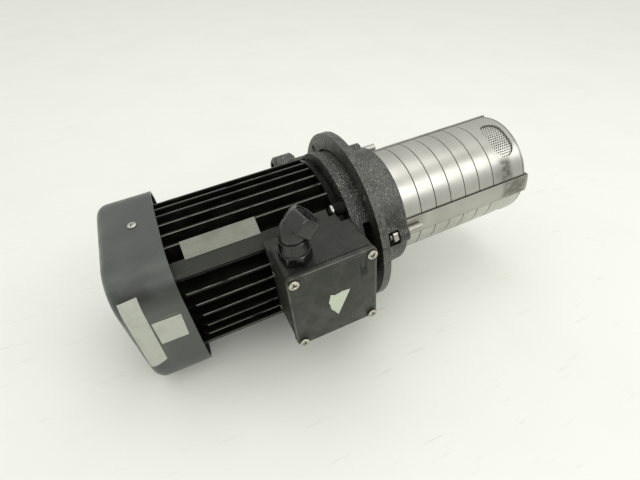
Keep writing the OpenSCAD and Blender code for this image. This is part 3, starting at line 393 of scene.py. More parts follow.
def rolled_steel(name, value=0.54, rough=0.31, along=False, stains_and_reflections=(), sleeves=False, strap=False):
    """Stainless sheet with fine lines around the shaft, or along it.

    Sleeves have dirt in their joints, painted shade beside the straps with a painted shadow line
    along each, and a dark inside of painted shade and oily dirt. A strap's edge is painted dark:
    painted shade.
    """
    colour = (value, value, value * 0.9)
    # the dark of dirt in the joints, also used for painted shade along the straps
    dirt = (0.035, 0.033, 0.028)
    s = Surface(name, colour, rough, metal=1.0)
    fine = (80, 0.3, 0.3) if along else (0.25, 60, 60)
    s.mix(s.spread(s.noise(0.6 * MM, 4, fine), 0.3, 0.75), scaled(colour, 0.9))
    broad = s.noise(34 * MM, 1, (1, 1.4, 1.4), lift=2)
    s.mix(s.spread(broad, 0.45, 0.75), scaled(colour, 0.8), 0.5)
    s.mix(s.spread(s.noise(1.6 * MM, 3, lift=6), 0.74, 0.78), (0.25, 0.22, 0.17), 0.25)
    s.rougher(s.noise(24 * MM, 1, (0.6, 2, 2), lift=1), rough - 0.04, rough + 0.05)
    radius, turn = s.polar()
    # degrees from the middle of the nearest strap
    shifted = s.math("ADD", turn, STRAP_STEP / 2 - STRAP_TURN)
    shifted = s.math("FLOORED_MODULO", shifted, STRAP_STEP)
    off_strap = s.math("ABSOLUTE", s.math("SUBTRACT", shifted, STRAP_STEP / 2))
    if sleeves:
        # the joint line between each sleeve and the next, from the first joint to the last
        start = (CHAMBER_X - CHAMBER_LEN / 2) * MM
        past = s.math("SUBTRACT", s.axes()[0], start)
        past = s.math("FLOORED_MODULO", past, CHAMBER_LEN * MM)
        away = s.math("ABSOLUTE", s.math("SUBTRACT", past, CHAMBER_LEN / 2 * MM))
        joint = s.product(s.spread(away, 0.3 * MM, 0.55 * MM, 1, 0), s.region(x=(50, 151, 0.5)))
        filled = s.spread(s.noise(9 * MM, 3, lift=4), 0.25, 0.5, 0.7, 1.0)
        s.mix(s.product(joint, filled), dirt, 0.92)
        s.rougher_where(joint, 0.7)
        # painted shade beside each strap, and a painted shadow as a dark line along its edge
        s.mix(s.between(off_strap, STRAP_HALF, STRAP_HALF + 2.2, 1.0), (0.2, 0.19, 0.16), 0.5)
        strap_shadow_line = s.between(off_strap, STRAP_HALF - 0.3, STRAP_HALF + 0.75, 0.2)
        s.mix(strap_shadow_line, dirt, 0.93)
        s.rougher_where(strap_shadow_line, 0.7)
        # painted shade with oily dirt: the sleeves' inside darkened
        inside = s.spread(radius, (SLEEVE_BORE + 0.02) * MM, (SLEEVE_BORE + 0.1) * MM, 1, 0)
        s.mix(inside, (0.02, 0.02, 0.018), 0.96)
        s.rougher_where(inside, 0.75)
    if strap:
        # painted shade along the strap's edge, in the dirt colour
        s.mix(s.spread(off_strap, STRAP_HALF - 0.42, STRAP_HALF - 0.3), dirt, 0.75)
    # stains, and on the strap a painted dark reflection too
    for x0, x1, turn0, turn1, tone, limit in stains_and_reflections:
        uneven = s.spread(s.noise(8 * MM, 2, (1, 0.6, 0.6), lift=x0), 0.2, 0.6, 0.35, 1.0)
        spot = s.product(s.region(x=(x0, x1, 5), turn=(turn0, turn1, 5)), uneven)
        s.mix(spot, tone, limit)
        s.rougher_where(s.math("MULTIPLY", spot, limit), 0.6)
    return s.bump(s.noise(0.35 * MM, 3, fine, lift=3), 0.01 * MM, 0.7).material


def plated(name, colour, rough=0.3, grime=(0.16, 0.14, 0.11), lid=False):
    """Plated metal with grime. On the lid's screws the recess and the head's foot are darkened:
    painted shade.
    """
    s = Surface(name, colour, rough, metal=1.0)
    s.mix(s.spread(s.noise(1.6 * MM, 5, rough=0.7), 0.5, 0.66), grime, 0.7)
    s.mix(s.spread(s.noise(6 * MM, 3, lift=4), 0.4, 0.7), scaled(colour, 0.75))
    s.rougher(s.noise(1.1 * MM, 4, lift=2), rough - 0.08, rough + 0.14)
    if lid:
        # painted shade in the recess and round the head's foot
        low = s.spread(s.axes()[1], (LID_FACE - 1.9) * MM, (LID_FACE - 1.1) * MM)
        s.mix(low, (0.02, 0.019, 0.015), 0.9)
        s.rougher_where(low, 0.7)
    return s.bump(s.noise(0.4 * MM, 3), 0.02 * MM, 0.7).material


def plain(name, colour, rough, metal=0.0, size=4 * MM, shade=0.7):
    """A plain material in two tones, for small and hidden pieces."""
    s = Surface(name, colour, rough, metal=metal)
    s.mix(s.spread(s.noise(size, 4), 0.35, 0.7), scaled(colour, shade))
    s.rougher(s.noise(size * 1.7, 4, lift=2), max(rough - 0.07, 0.05), rough + 0.09)
    return s.bump(s.noise(size / 8, 3), 0.03 * MM, 0.7).material


def laminations():
    """Stacked sheets, their edges across the shaft."""
    s = Surface("laminations", (0.2, 0.205, 0.215), 0.45, metal=0.8)
    sheets = s.noise(0.5 * MM, 1, (1, 900, 900))
    s.mix(s.spread(sheets, 0.4, 0.6), (0.09, 0.09, 0.1))
    s.rougher(s.noise(8 * MM), 0.38, 0.55)
    return s.bump(sheets, 0.05 * MM, 0.8).material


def wound_copper():
    """Varnished wire, laid along the shaft."""
    s = Surface("wound_copper", (0.42, 0.15, 0.05), 0.32, coat=0.4)
    wires = s.noise(0.9 * MM, 1, (300, 1, 1))
    s.mix(s.spread(wires, 0.4, 0.6), (0.2, 0.06, 0.02))
    s.rougher(s.noise(7 * MM), 0.26, 0.42)
    return s.bump(wires, 0.2 * MM, 0.8).material


def bare_plate():
    """The nameplate's grey metal, brushed along the shaft, with nothing on it."""
    s = Surface("bare_plate", grey(0.21), 0.4, metal=0.5)
    s.mix(s.spread(s.noise(0.35 * MM, 3, (60, 1, 1)), 0.3, 0.7), grey(0.3), 0.7)
    s.mix(s.spread(s.noise(0.9 * MM, 4, rough=0.7, lift=3), 0.5, 0.66), grey(0.11), 0.4)
    s.mix(s.spread(s.noise(22 * MM, 3, lift=5), 0.45, 0.7), grey(0.13), 0.4)
    s.rougher(s.noise(4 * MM, 4), 0.32, 0.5)
    return s.bump(s.noise(0.3 * MM, 2, (60, 1, 1)), 0.01 * MM, 0.8).material


def perforated_sheet():
    """The strainer's bright sheet, with painted shade in its holes and on its inside."""
    s = Surface("sheet_steel", (0.66, 0.665, 0.6), 0.34, metal=0.85)
    radius = s.polar()[0]
    s.mix(s.spread(s.noise(3 * MM, 3), 0.35, 0.7), (0.56, 0.565, 0.5))
    s.rougher(s.noise(5 * MM, 3, lift=2), 0.3, 0.42)
    # painted shade: the holes' walls and the sheet's inside made nearly black
    shaded_inside = s.spread(radius, (SHEET_R - 0.2) * MM, (SHEET_R - 0.08) * MM, 1.0, 0.0)
    s.mix(shaded_inside, (0.008, 0.008, 0.007))
    s.rougher_where(shaded_inside, 0.8)
    return s.bump(s.noise(0.5 * MM, 3), 0.01 * MM, 0.7).material


def paper(name, colour, dirt):
    """Bare paper or label film, soiled."""
    s = Surface(name, colour, 0.5, spec=0.3)
    s.mix(s.spread(s.noise(11 * MM, 5, rough=0.7), 0.45, 0.75), dirt, 0.5)
    s.mix(s.spread(s.noise(1.2 * MM, 5, rough=0.8, lift=5), 0.62, 0.72), scaled(dirt, 0.55), 0.4)
    s.rougher(s.noise(5 * MM), 0.42, 0.62)
    s.bump(s.noise(0.7 * MM, 4), 0.03 * MM, 0.6)
    return s.bump(s.noise(9 * MM, 2), 0.15 * MM, 0.5).material


# Each stain is a span in X, a span in degrees, its colour and how strong it is. The
# strap's first is a stain together with a painted dark reflection at the strap's end.
SLEEVE_STAINS = [
    (158, 172, 139, 163, (0.1, 0.1, 0.08), 0.85),
    (150, 158, 148, 160, (0.2, 0.2, 0.17), 0.5)]
STRAP_STAINS_AND_REFLECTION = [
    (160, 190, 163, 186, (0.16, 0.155, 0.125), 0.8),
    (36, 60, 163, 175, (0.25, 0.24, 0.2), 0.4)]

LOOK = {
    "cover_paint": moulded_cover(),
    "housing": housing_paint(),
    "black_paint": shield_paint(),
    "cast_black": cast_paint(),
    "black_plastic": box_plastic("box_plastic", grey(0.018), grey(0.03)),
    "lid": box_plastic("lid_plastic", grey(0.029), grey(0.048), lid=True),
    "gland": gland_plastic("gland_plastic", 0.011, 0.28),
    "gland_dark": gland_plastic("gland_base_plastic", 0.004, 0.18),
    # the slot of the gland's cap nut, which the photograph shows as dark plastic
    "nickel": gland_plastic("gland_nut_plastic", 0.013, 0.25),
    "sleeve": rolled_steel("sleeve_steel", stains_and_reflections=SLEEVE_STAINS, sleeves=True),
    "stainless": rolled_steel("rolled_steel"),
    "end_steel": rolled_steel("end_steel", 0.4, 0.36),
    "strap_steel": rolled_steel(
        "strap_steel", 0.45, 0.32, along=True, stains_and_reflections=STRAP_STAINS_AND_REFLECTION, strap=True),
    "sheet_steel": perforated_sheet(),
    "zinc": plated("bright_zinc", (0.62, 0.61, 0.56), 0.24),
    "old_zinc": plated("handled_zinc", (0.6, 0.57, 0.48), 0.26, (0.05, 0.043, 0.032)),
    "lid_zinc": plated("lid_screw_zinc", (0.62, 0.6, 0.5), 0.24, (0.12, 0.11, 0.085), lid=True),
    "steel": plated("turned_steel", (0.5, 0.5, 0.52), 0.28, (0.3, 0.29, 0.28)),
    "laminations": laminations(),
    "copper": wound_copper(),
    "brass": plain("drawn_brass", (0.6, 0.4, 0.14), 0.3, metal=1.0),
    "bronze": plain("bearing_bronze", (0.42, 0.29, 0.13), 0.36, metal=1.0),
    "rubber": plain("black_rubber", (0.008, 0.008, 0.008), 0.55, size=3 * MM, shade=1.6),
    "ceramic": plain("lapped_ceramic", (0.68, 0.65, 0.58), 0.25, shade=0.92),
    "carbon": plain("lapped_carbon", (0.04, 0.04, 0.045), 0.3, shade=0.8),
    "block_resin": plain("brown_resin", (0.16, 0.075, 0.035), 0.4),
    "bare_aluminium": bare_plate(),
    "gasket": box_plastic("gasket_rubber", grey(0.03), grey(0.05)),
    "teeth": plain("gasket_teeth", (0.002, 0.002, 0.002), 0.6, size=3 * MM),
    "sticker": paper("white_sticker", (0.45, 0.465, 0.395), (0.33, 0.34, 0.28)),
    "scrap": paper("paper_scrap", (0.53, 0.575, 0.455), (0.42, 0.45, 0.34)),
}

# Nodes that need a look of their own. The others take the look named as their slot.
NODE_LOOK = {
    "motor_housing": "housing", "terminal_box_lid": "lid", "lid_gasket": "gasket",
    "lid_screws": "lid_zinc", "gland_elbow": "gland", "end_plate": "end_steel",
    "straps": "strap_steel", "strap_nuts": "old_zinc", "strainer_sheet": "sheet_steel",
    "top_ring": "sleeve", "inlet_sleeve": "sleeve", "chamber_1": "sleeve", "chamber_2": "sleeve",
    "chamber_3": "sleeve", "chamber_4": "sleeve", "chamber_5": "sleeve",
}


def dress(obj, look):
    """Gives a CAD object one of the looks in place of its plain material."""
    obj.data.materials.clear()
    obj.data.materials.append(LOOK[look])


slots = {row["node"]: row["material_slot"] for row in frame["record"]["subparts"]}
for name, obj in frame["nodes"].items():
    dress(obj, NODE_LOOK.get(name, slots[name]))


# Mesh tools


def new_object(name, bm, look, smooth=None):
    """Turns a bmesh, made in millimetres, into a piece that rides on the casing."""
    bmesh.ops.recalc_face_normals(bm, faces=bm.faces)
    bmesh.ops.scale(bm, vec=(MM, MM, MM), verts=bm.verts)
    mesh = bpy.data.meshes.new(name)
    bm.to_mesh(mesh)
    bm.free()
    obj = bpy.data.objects.new(name, mesh)
    bpy.context.scene.collection.objects.link(obj)
    mesh.materials.append(LOOK[look])
    if smooth is not None:
        mesh.shade_smooth()
        mesh.set_sharp_from_angle(angle=math.radians(smooth))
    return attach(obj, "casing")


def lathe(bm, profile, matrix=None, steps=48):
    """Turns (radius, height) points about Z into a closed form."""
    rings = []
    for radius, height in profile:
        count = 1 if radius < 1e-6 else steps
        ring = []
        for i in range(count):
            a = TAU * i / steps
            ring.append(bm.verts.new((radius * math.cos(a), radius * math.sin(a), height)))
        rings.append(ring)
    pairs = list(zip(rings, rings[1:]))
    if len(rings[0]) > 1 and len(rings[-1]) > 1:
        pairs.append((rings[-1], rings[0]))
    for a, b in pairs:
        for i in range(steps):
            j = (i + 1) % steps
            if len(a) == 1 and len(b) > 1:
                bm.faces.new((a[0], b[i], b[j]))
            elif len(b) == 1 and len(a) > 1:
                bm.faces.new((a[i], b[0], a[j]))
            elif len(a) > 1:
                bm.faces.new((a[i], b[i], b[j], a[j]))
    if matrix is not None:
        bmesh.ops.transform(bm, matrix=matrix, verts=[v for ring in rings for v in ring])


def loft(bm, loops, cap=True):
    """Skins closed loops of points of equal count. Without caps the last meets the first."""
    rings = [[bm.verts.new(p) for p in loop] for loop in loops]
    count = len(rings[0])
    pairs = list(zip(rings, rings[1:]))
    if not cap:
        pairs.append((rings[-1], rings[0]))
    for a, b in pairs:
        for i in range(count):
            j = (i + 1) % count
            bm.faces.new((a[i], a[j], b[j], b[i]))
    if cap:
        bm.faces.new(list(reversed(rings[0])))
        bm.faces.new(rings[-1])
    return [v for ring in rings for v in ring]


def pointing(place, direction, turn=0.0):
    """A matrix that carries Z to direction at place."""
    z = Vector(direction).normalized()
    x = z.orthogonal().normalized()
    y = z.cross(x)
    m = Matrix((x, y, z)).transposed().to_4x4()
    return Matrix.Translation(Vector(place)) @ m @ Matrix.Rotation(turn, 4, "Z")


def around_shaft(x, r, degrees):
    """A point at x, r from the shaft's axis, turned from Y towards Z."""
    a = math.radians(degrees)
    return Vector((x, r * math.cos(a), r * math.sin(a)))


def circle(r, z, steps, wave=0.0, waves=0):
    """A loop of radius r at height z, fluted where wave is given."""
    loop = []
    for i in range(steps):
        a = TAU * i / steps
        now = r + wave * math.cos(waves * a)
        loop.append((now * math.cos(a), now * math.sin(a), z))
    return loop


# Screws


def loose_object(name, bm):
    """A bmesh as an object of its own, to cut or to cut with."""
    bmesh.ops.recalc_face_normals(bm, faces=bm.faces)
    mesh = bpy.data.meshes.new(name)
    bm.to_mesh(mesh)
    bm.free()
    obj = bpy.data.objects.new(name, mesh)
    bpy.context.scene.collection.objects.link(obj)
    return obj


def cut_away(body, tool):
    """The mesh that is left of one loose object when another is cut out of it."""
    cut = body.modifiers.new("cut", "BOOLEAN")
    cut.object = tool
    cut.operation = "DIFFERENCE"
    cut.solver = "EXACT"
    cut.use_self = True
    bpy.context.view_layer.update()
    graph = bpy.context.evaluated_depsgraph_get()
    result = bpy.data.meshes.new_from_object(body.evaluated_get(graph))
    bpy.data.objects.remove(body)
    bpy.data.objects.remove(tool)
    return result


def pan_head(r, t, shank_r, length, slot_w):
    """A pan head of height t with a cross recess, its underside at z = 0, as a closed mesh."""
    crown = 0.62
    chamfer = 0.6
    dome_steps = 7
    edge = [(0, -length), (shank_r - 0.5, -length), (shank_r, -length + chamfer), (shank_r, 0)]
    edge += [(r * 0.97, 0), (r, 0.12 * t), (r, 0.42 * t)]
    for k in range(1, dome_steps):
        a = k / dome_steps * math.pi / 2
        edge.append((r * (crown + (1 - crown) * math.cos(a)), t * (0.42 + 0.5 * math.sin(a))))
    edge += [(r * 0.36, t * 0.985), (0, t)]
    head = bmesh.new()
    lathe(head, edge, steps=40)

    # the recess: two tapered bars, the second a hair off square
    span = r * 0.62
    floor = t * 0.38
    half = slot_w / 2
    top = [(-span, -half), (span, -half), (span, half), (-span, half)]
    low = [(x * 0.4, y * 0.7) for x, y in top]
    recess = bmesh.new()
    for q in range(2):
        verts = loft(recess, [
            [(x, y, floor) for x, y in low],
            [(x, y, t * 0.86) for x, y in top],
            [(x, y, t + 1) for x, y in top]])
        turn = Matrix.Rotation(q * math.pi / 2 + 0.001 * q, 3, "Z")
        bmesh.ops.rotate(recess, matrix=turn, verts=verts)
    return cut_away(loose_object("head", head), loose_object("recess", recess))


def place_copies(name, mesh, matrices, look, replaced):
    """One piece of several copies of a mesh, in place of a node of the CAD model."""
    bm = bmesh.new()
    for m in matrices:
        before = set(bm.verts)
        bm.from_mesh(mesh)
        bmesh.ops.transform(bm, matrix=m, verts=[v for v in bm.verts if v not in before])
    obj = new_object(name, bm, look, smooth=35)
    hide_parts(replaced)


lid_places = []
for u in (-1, 1):
    for v in (-1, 1):
        place = (LID_MID.x + LID_SCREW_X * u, LID_FACE, LID_MID.z + LID_SCREW_Z * v)
        lid_places.append(pointing(place, (0, -1, 0), rng.uniform(0, TAU)))
lid_screw = pan_head(r=4.6, t=2.58, shank_r=1.9, length=12, slot_w=1.6)
place_copies("lid_screw_set", lid_screw, lid_places, "lid_zinc", "lid_screws")

bolt_places = []
for i in range(4):
    place = around_shaft(HEAD_BOLT_X, HEAD_BOLT_R, HEAD_BOLT_TURN + 90 * i)
    bolt_places.append(pointing(place, (-1, 0, 0), rng.uniform(0, TAU)))
corner_bolt = pan_head(r=5.6, t=3.6, shank_r=3.0, length=17, slot_w=1.3)
place_copies("corner_bolt_set", corner_bolt, bolt_places, "zinc", "corner_bolts")

# The fan cover's screws sit on its top, bottom and far side.
cover_places = []
for i in (-1, 0, 1):
    place = around_shaft(COVER_SCREW_X, COVER_HALF, 90 * i)
    cover_places.append(pointing(place, around_shaft(0, 1, 90 * i), rng.uniform(0, TAU)))
cover_screw = pan_head(r=4.0, t=2.0, shank_r=2.0, length=8, slot_w=1.0)
place_copies("cover_screw_set", cover_screw, cover_places, "zinc", "fan_cover_screws")


# Terminal box lid


def rounded_loop(half_x, half_z, r, y, steps=8):
    """A rounded rectangle in X and Z about the lid's middle, at y."""
    points = []
    for sx, sz, start in ((1, 1, 0), (-1, 1, 90), (-1, -1, 180), (1, -1, 270)):
        for k in range(steps + 1):
            a = math.radians(start + 90 * k / steps)
            points.append((
                LID_MID.x + sx * (half_x - r) + r * math.cos(a), y,
                LID_MID.z + sz * (half_z - r) + r * math.sin(a)))
    return points


def terminal_lid():
    """The lid as loops from its back to its face, each a place in Y and how far it is drawn in."""
    steps = 5
    bm = bmesh.new()
    layers = [(LID_BACK, -0.5), (LID_BACK - 0.35, 0.0), (LID_SHOULDER, 0.0)]
    for k in range(1, steps + 1):
        a = k / steps * math.pi / 2
        layers.append((LID_SHOULDER - 1.2 * math.sin(a), -LID_BEVEL * (1 - math.cos(a))))
    layers += [(LID_FACE + 0.5, -2.0), (LID_FACE, -2.9)]
    loft(bm, [
        rounded_loop(LID_HALF_X + d, LID_HALF_Z + d, LID_CORNER + d, y) for y, d in layers])
    obj = new_object("terminal_lid", bm, "lid", smooth=30)
    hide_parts("terminal_box_lid")


terminal_lid()


def split_teeth():
    """The gasket's fine row of teeth that shows in the joint behind the lid."""
    pitch = 2.4
    inset = 0.05
    foot = [(-0.65, -0.9), (0.65, -0.9), (0.65, 0.9), (-0.65, 0.9)]
    middle = Vector((LID_MID.x, LID_BACK + 0.5, LID_MID.z))
    toward_box = Vector((0, 1, 0))
    loop = rounded_loop(
        LID_HALF_X - inset, LID_HALF_Z - inset, LID_CORNER - inset, middle.y, steps=6)
    bm = bmesh.new()
    for a, b in zip(loop, loop[1:] + loop[:1]):
        a = Vector(a)
        b = Vector(b)
        along = (b - a).normalized()
        count = int((b - a).length / pitch)
        for k in range(count):
            p = a.lerp(b, (k + 0.5) / count)
            out = along.cross(toward_box)
            if out.dot(p - middle) < 0:
                out.negate()
            m = Matrix((along, toward_box, out)).transposed().to_4x4()
            m.translation = p
            verts = loft(bm, [
                [(u, v, -0.6) for u, v in foot],
                [(u, v, 0.2) for u, v in foot],
                [(u * 0.7, v * 0.7, 0.4) for u, v in foot]])
            bmesh.ops.transform(bm, matrix=m, verts=verts)
    obj = new_object("lid_joint_teeth", bm, "teeth")


split_teeth()


# Cable gland

# The bend's lower end, the gland's way and the bend's turn
BEND = Vector((-88.0, -87.5, 79.2))
WAY_R = 6.5
BEND_TURN = math.radians(45)


def soft_hex(flats, z, grow=0.0, steps=8, turn=0.0):
    """A hexagon with rounded corners at height z."""
    blunt = 0.965
    points = []
    apothem = flats / 2 + grow
    corner = apothem / math.cos(math.pi / 6)
    for i in range(6):
        for k in range(steps):
            a = (i + k / steps) * math.pi / 3
            local = (k / steps) * math.pi / 3 - math.pi / 6
            r = min(apothem / math.cos(local), corner * blunt)
            points.append((r * math.cos(a + turn), r * math.sin(a + turn), z))
    return points


def gland_base(up):
    """Base nut, fluted ring and the threaded stub inside the box."""
    base_flats = 24.6
    stub_start = 44.8
    stub_end = 55.6
    root_r = 9.35
    crest_r = 9.9
    bm = bmesh.new()
    hexes = [(BOX_TOP, -0.9), (56.2, 0.0), (64.4, 0.0), (65.4, -0.8), (65.4, -2.6)]
    verts = loft(bm, [soft_hex(base_flats, z, d, turn=math.radians(-20)) for z, d in hexes])
    bmesh.ops.transform(bm, matrix=up, verts=verts)
    # each loop of the fluted ring: radius, height and depth of the flutes
    fluted = [
        (9.6, 65.4, 0), (11.9, 65.4, 0), (12.1, 66.4, 0), (11.8, 67.2, 0.2), (11.8, 74.6, 0.2),
        (12.0, 75.4, 0), (11.9, 76.6, 0), (11.2, 77.2, 0), (9.6, 77.2, 0)]
    verts = loft(bm, [circle(r, z, 144, wave, 36) for r, z, wave in fluted], cap=False)
    bmesh.ops.transform(bm, matrix=up, verts=verts)
    thread = [(WAY_R, stub_start)]
    z = stub_start
    while z < stub_end - 0.6:
        thread += [(root_r, z), (crest_r, z + 0.5), (crest_r, z + 0.7), (root_r, z + 1.2)]
        z += 1.5
    thread += [(crest_r, stub_end), (WAY_R, stub_end)]
    lathe(bm, thread, up)
    obj = new_object("gland_base", bm, "gland_dark", smooth=32)


def gland_elbow(tilt):
    """A short neck, the ball of the bend and the spigot in the cap nut."""
    steps = 48
    bend_steps = 8
    bend_r = 14.0
    ball_r = 11.4
    neck_top = 0.6
    side = Vector((0, 1, 0))
    # each place along the elbow: its middle, its direction and its outer radius
    places = []
    for rise, r in ((-2.4, 9.8), (-1.2, 10.2), (-0.6, 11.2), (neck_top, ball_r)):
        places.append((Vector((BEND.x, BEND.y, BEND.z + rise)), Vector((0, 0, 1)), r))
    centre = Vector((BEND.x + bend_r, BEND.y, BEND.z + neck_top))
    for k in range(1, bend_steps + 1):
        a = BEND_TURN * k / bend_steps
        on_arc = centre + Vector((-bend_r * math.cos(a), 0, bend_r * math.sin(a)))
        lower = Vector((0, 0, 0.4 * k))
        direction = Vector((math.sin(a), 0, math.cos(a)))
        places.append((on_arc - lower, direction, ball_r - 0.1 * k))
    outer = []
    inner = []
    for place, direction, r in places:
        other = direction.cross(side)
        for rings, radius in ((outer, r), (inner, WAY_R)):
            loop = []
            for i in range(steps):
                a = TAU * i / steps
                loop.append(place + side * radius * math.cos(a) + other * radius * math.sin(a))
            rings.append(loop)
    bm = bmesh.new()
    loft(bm, outer + inner[::-1], cap=False)
    lathe(bm, [(WAY_R, 6.0), (9.0, 6.0), (9.0, 14.8), (WAY_R, 14.8)], tilt)
    obj = new_object("gland_elbow_body", bm, "gland", smooth=32)
    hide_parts("gland_elbow")


def gland_nut(tilt):
    """The cap nut: a soft hexagon outside, round in its mouth."""
    cap_flats = 25.2
    outside = [
        (4.6, -2.2), (5.2, -0.9), (6.4, 0.0), (15.0, 0.0), (17.6, -0.9), (19.2, -1.8), (20.0, -2.8)]
    inside = [(9.3, 20.0), (9.0, 19.7), (8.9, 19.0), (8.9, 15.6), (9.1, 15.4), (9.1, 5.0)]
    shell = [soft_hex(cap_flats, z, d) for z, d in outside]
    shell += [circle(r, z, len(shell[0])) for r, z in inside]
    bm = bmesh.new()
    verts = loft(bm, shell, cap=False)
    bmesh.ops.transform(bm, matrix=tilt, verts=verts)
    obj = new_object("gland_cap_nut", bm, "nickel", smooth=32)
    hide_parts("gland_nut")


def gland_seal(tilt):
    """The seal with the clamping fingers that show in the mouth."""
    bm = bmesh.new()
    fingers = [
        (8.9, 14.9, 0), (6.6, 14.9, 0), (7.0, 15.4, 0.6), (7.4, 18.0, 0.8), (7.8, 18.7, 0.6),
        (8.7, 18.4, 0), (8.7, 15.5, 0), (8.9, 15.3, 0)]
    verts = loft(bm, [circle(r, z, 96, wave, 12) for r, z, wave in fingers], cap=False)
    bmesh.ops.transform(bm, matrix=tilt, verts=verts)
    obj = new_object("gland_ribbed_seal", bm, "rubber", smooth=40)
    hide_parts("gland_seal")


upright = Matrix.Translation(Vector((BEND.x, BEND.y, 0)))
tilted = Matrix.Translation(BEND) @ Matrix.Rotation(BEND_TURN, 4, "Y")
gland_base(upright)
gland_elbow(tilted)
gland_nut(tilted)
gland_seal(tilted)


# Strainer

SHEET_X0 = 149.4
SHEET_X1 = 186.8
WINDOWS = (114.0, 234.0, 354.0)
MESH_X = 170.0
MESH_X0 = 156.5
MESH_X1 = 183.5
MESH_PITCH = 2.75
MESH_ROWS = 9
MESH_COLUMNS = 18
MESH_TURN = math.degrees(MESH_PITCH / SHEET_R)


def strainer_mesh():
    """The punched stretches of the sheet behind the windows, each hole in its own square."""
    hole_r = 0.92
    corners = 8
    bm = bmesh.new()
    for middle in WINDOWS:
        for i in range(MESH_ROWS):
            for j in range(MESH_COLUMNS):
                stagger = (0.25 if j % 2 else -0.25) * MESH_PITCH
                x = MESH_X + (i - (MESH_ROWS - 1) / 2) * MESH_PITCH + stagger
                turn = middle + (j - (MESH_COLUMNS - 1) / 2) * MESH_TURN
                outer = []
                inner = []
                deep = []
                for k in range(corners):
                    a = TAU * k / corners
                    reach = 0.5 / max(abs(math.cos(a)), abs(math.sin(a)))
                    u = x + MESH_PITCH * reach * math.cos(a)
                    v = turn + MESH_TURN * reach * math.sin(a)
                    outer.append(bm.verts.new(around_shaft(u, SHEET_R, v)))
                    u = x + hole_r * math.cos(a)
                    v = turn + math.degrees(hole_r * math.sin(a) / SHEET_R)
                    inner.append(bm.verts.new(around_shaft(u, SHEET_R, v)))
                    deep.append(bm.verts.new(around_shaft(u, SHEET_R - SHEET_T, v)))
                for k in range(corners):
                    m = (k + 1) % corners
                    bm.faces.new((outer[k], outer[m], inner[m], inner[k]))
                    bm.faces.new((inner[k], inner[m], deep[m], deep[k]))
    bmesh.ops.remove_doubles(bm, verts=bm.verts, dist=0.02)
    obj = new_object("strainer_mesh", bm, "sheet_steel", smooth=40)


def strainer_bands():
    """The plain rest of the sheet: a ring at each end and a band between the windows."""
    inside = SHEET_R - SHEET_T
    overlap = 0.1
    steps = 24
    along = Matrix.Rotation(math.pi / 2, 4, "Y")
    bm = bmesh.new()
    for x0, x1 in ((SHEET_X0, MESH_X0 + overlap), (MESH_X1 - overlap, SHEET_X1)):
        lathe(bm, [(inside, x0), (SHEET_R, x0), (SHEET_R, x1), (inside, x1)], along, 96)
    half_span = MESH_COLUMNS * MESH_TURN / 2
    section = ((MESH_X0, inside), (MESH_X1, inside), (MESH_X1, SHEET_R), (MESH_X0, SHEET_R))
    for middle in WINDOWS:
        start = middle + half_span
        end = middle + STRAP_STEP - half_span
        loops = []
        for k in range(steps + 1):
            a = start + (end - start) * k / steps
            loops.append([around_shaft(x, r, a) for x, r in section])
        loft(bm, loops)
    obj = new_object("strainer_sheet_plain", bm, "sheet_steel", smooth=40)
    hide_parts("strainer_sheet")


strainer_mesh()
strainer_bands()


# Studs and nuts of the straps


STUD_CIRCLE = 59.95
STUD_X0 = 15.9
STUD_X1 = 52.9
STUD_R = 3.5
THREAD_R = 3.2
NUT_X0 = 17.4
NUT_X1 = 23.9
NUT_FLATS = 13.0


def stud_threads():
    """The three studs, threaded end to end, around the solid ones."""
    bm = bmesh.new()
    for i in range(3):
        m = pointing(around_shaft(0, STUD_CIRCLE, STRAP_TURN + STRAP_STEP * i), (1, 0, 0))
        x = STUD_X0
        profile = [(0, x)]
        while x < STUD_X1 - 0.9:
            profile += [(THREAD_R, x), (STUD_R, x + 0.35), (STUD_R, x + 0.5), (THREAD_R, x + 0.85)]
            x += 1.0
        profile += [(3.1, STUD_X1 - 0.3), (2.6, STUD_X1), (0, STUD_X1)]
        lathe(bm, profile, m, 24)
    obj = new_object("stud_threads", bm, "zinc", smooth=50)


def strap_nuts():
    """The three hexagon nuts, each turned a little further than the one before."""
    layers = [(NUT_X0, -1.2), (NUT_X0 + 0.6, 0.0), (NUT_X1 - 0.7, 0.0), (NUT_X1, -1.0)]
    nut = [soft_hex(NUT_FLATS, z, d) for z, d in layers]
    nut += [circle(STUD_R + 0.05, z, len(nut[0])) for z in (NUT_X1, NUT_X0)]
    bm = bmesh.new()
    for i in range(3):
        place = around_shaft(0, STUD_CIRCLE, STRAP_TURN + STRAP_STEP * i)
        m = pointing(place, (1, 0, 0), 0.3 * i)
        verts = loft(bm, nut, cap=False)
        bmesh.ops.transform(bm, matrix=m, verts=verts)
    obj = new_object("strap_hex_nuts", bm, "old_zinc", smooth=35)
    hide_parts("strap_nuts")


stud_threads()
strap_nuts()


# Bare labels and the paper scrap

# How far a label's back and its face stand off the cover
LABEL_LIFTS = (0.02, 0.13)


def cover_point(x, s, lift):
    """A point of the fan cover's near side, where s runs up over its rounded corners."""
    inset = 0.0
    if x < COVER_ROUND_X:
        t = min(COVER_ROUND_X - x, COVER_EDGE)
        inset = COVER_EDGE - math.sqrt(max(COVER_EDGE ** 2 - t * t, 0.0))
    flat = COVER_HALF - COVER_CORNER
    if abs(s) <= flat:
        return Vector((x, -COVER_HALF + inset - lift, s))
    a = min((abs(s) - flat) / COVER_CORNER, math.pi / 2)
    r = COVER_CORNER - inset + lift
    return Vector((x, -flat - r * math.cos(a), math.copysign(flat + r * math.sin(a), s)))


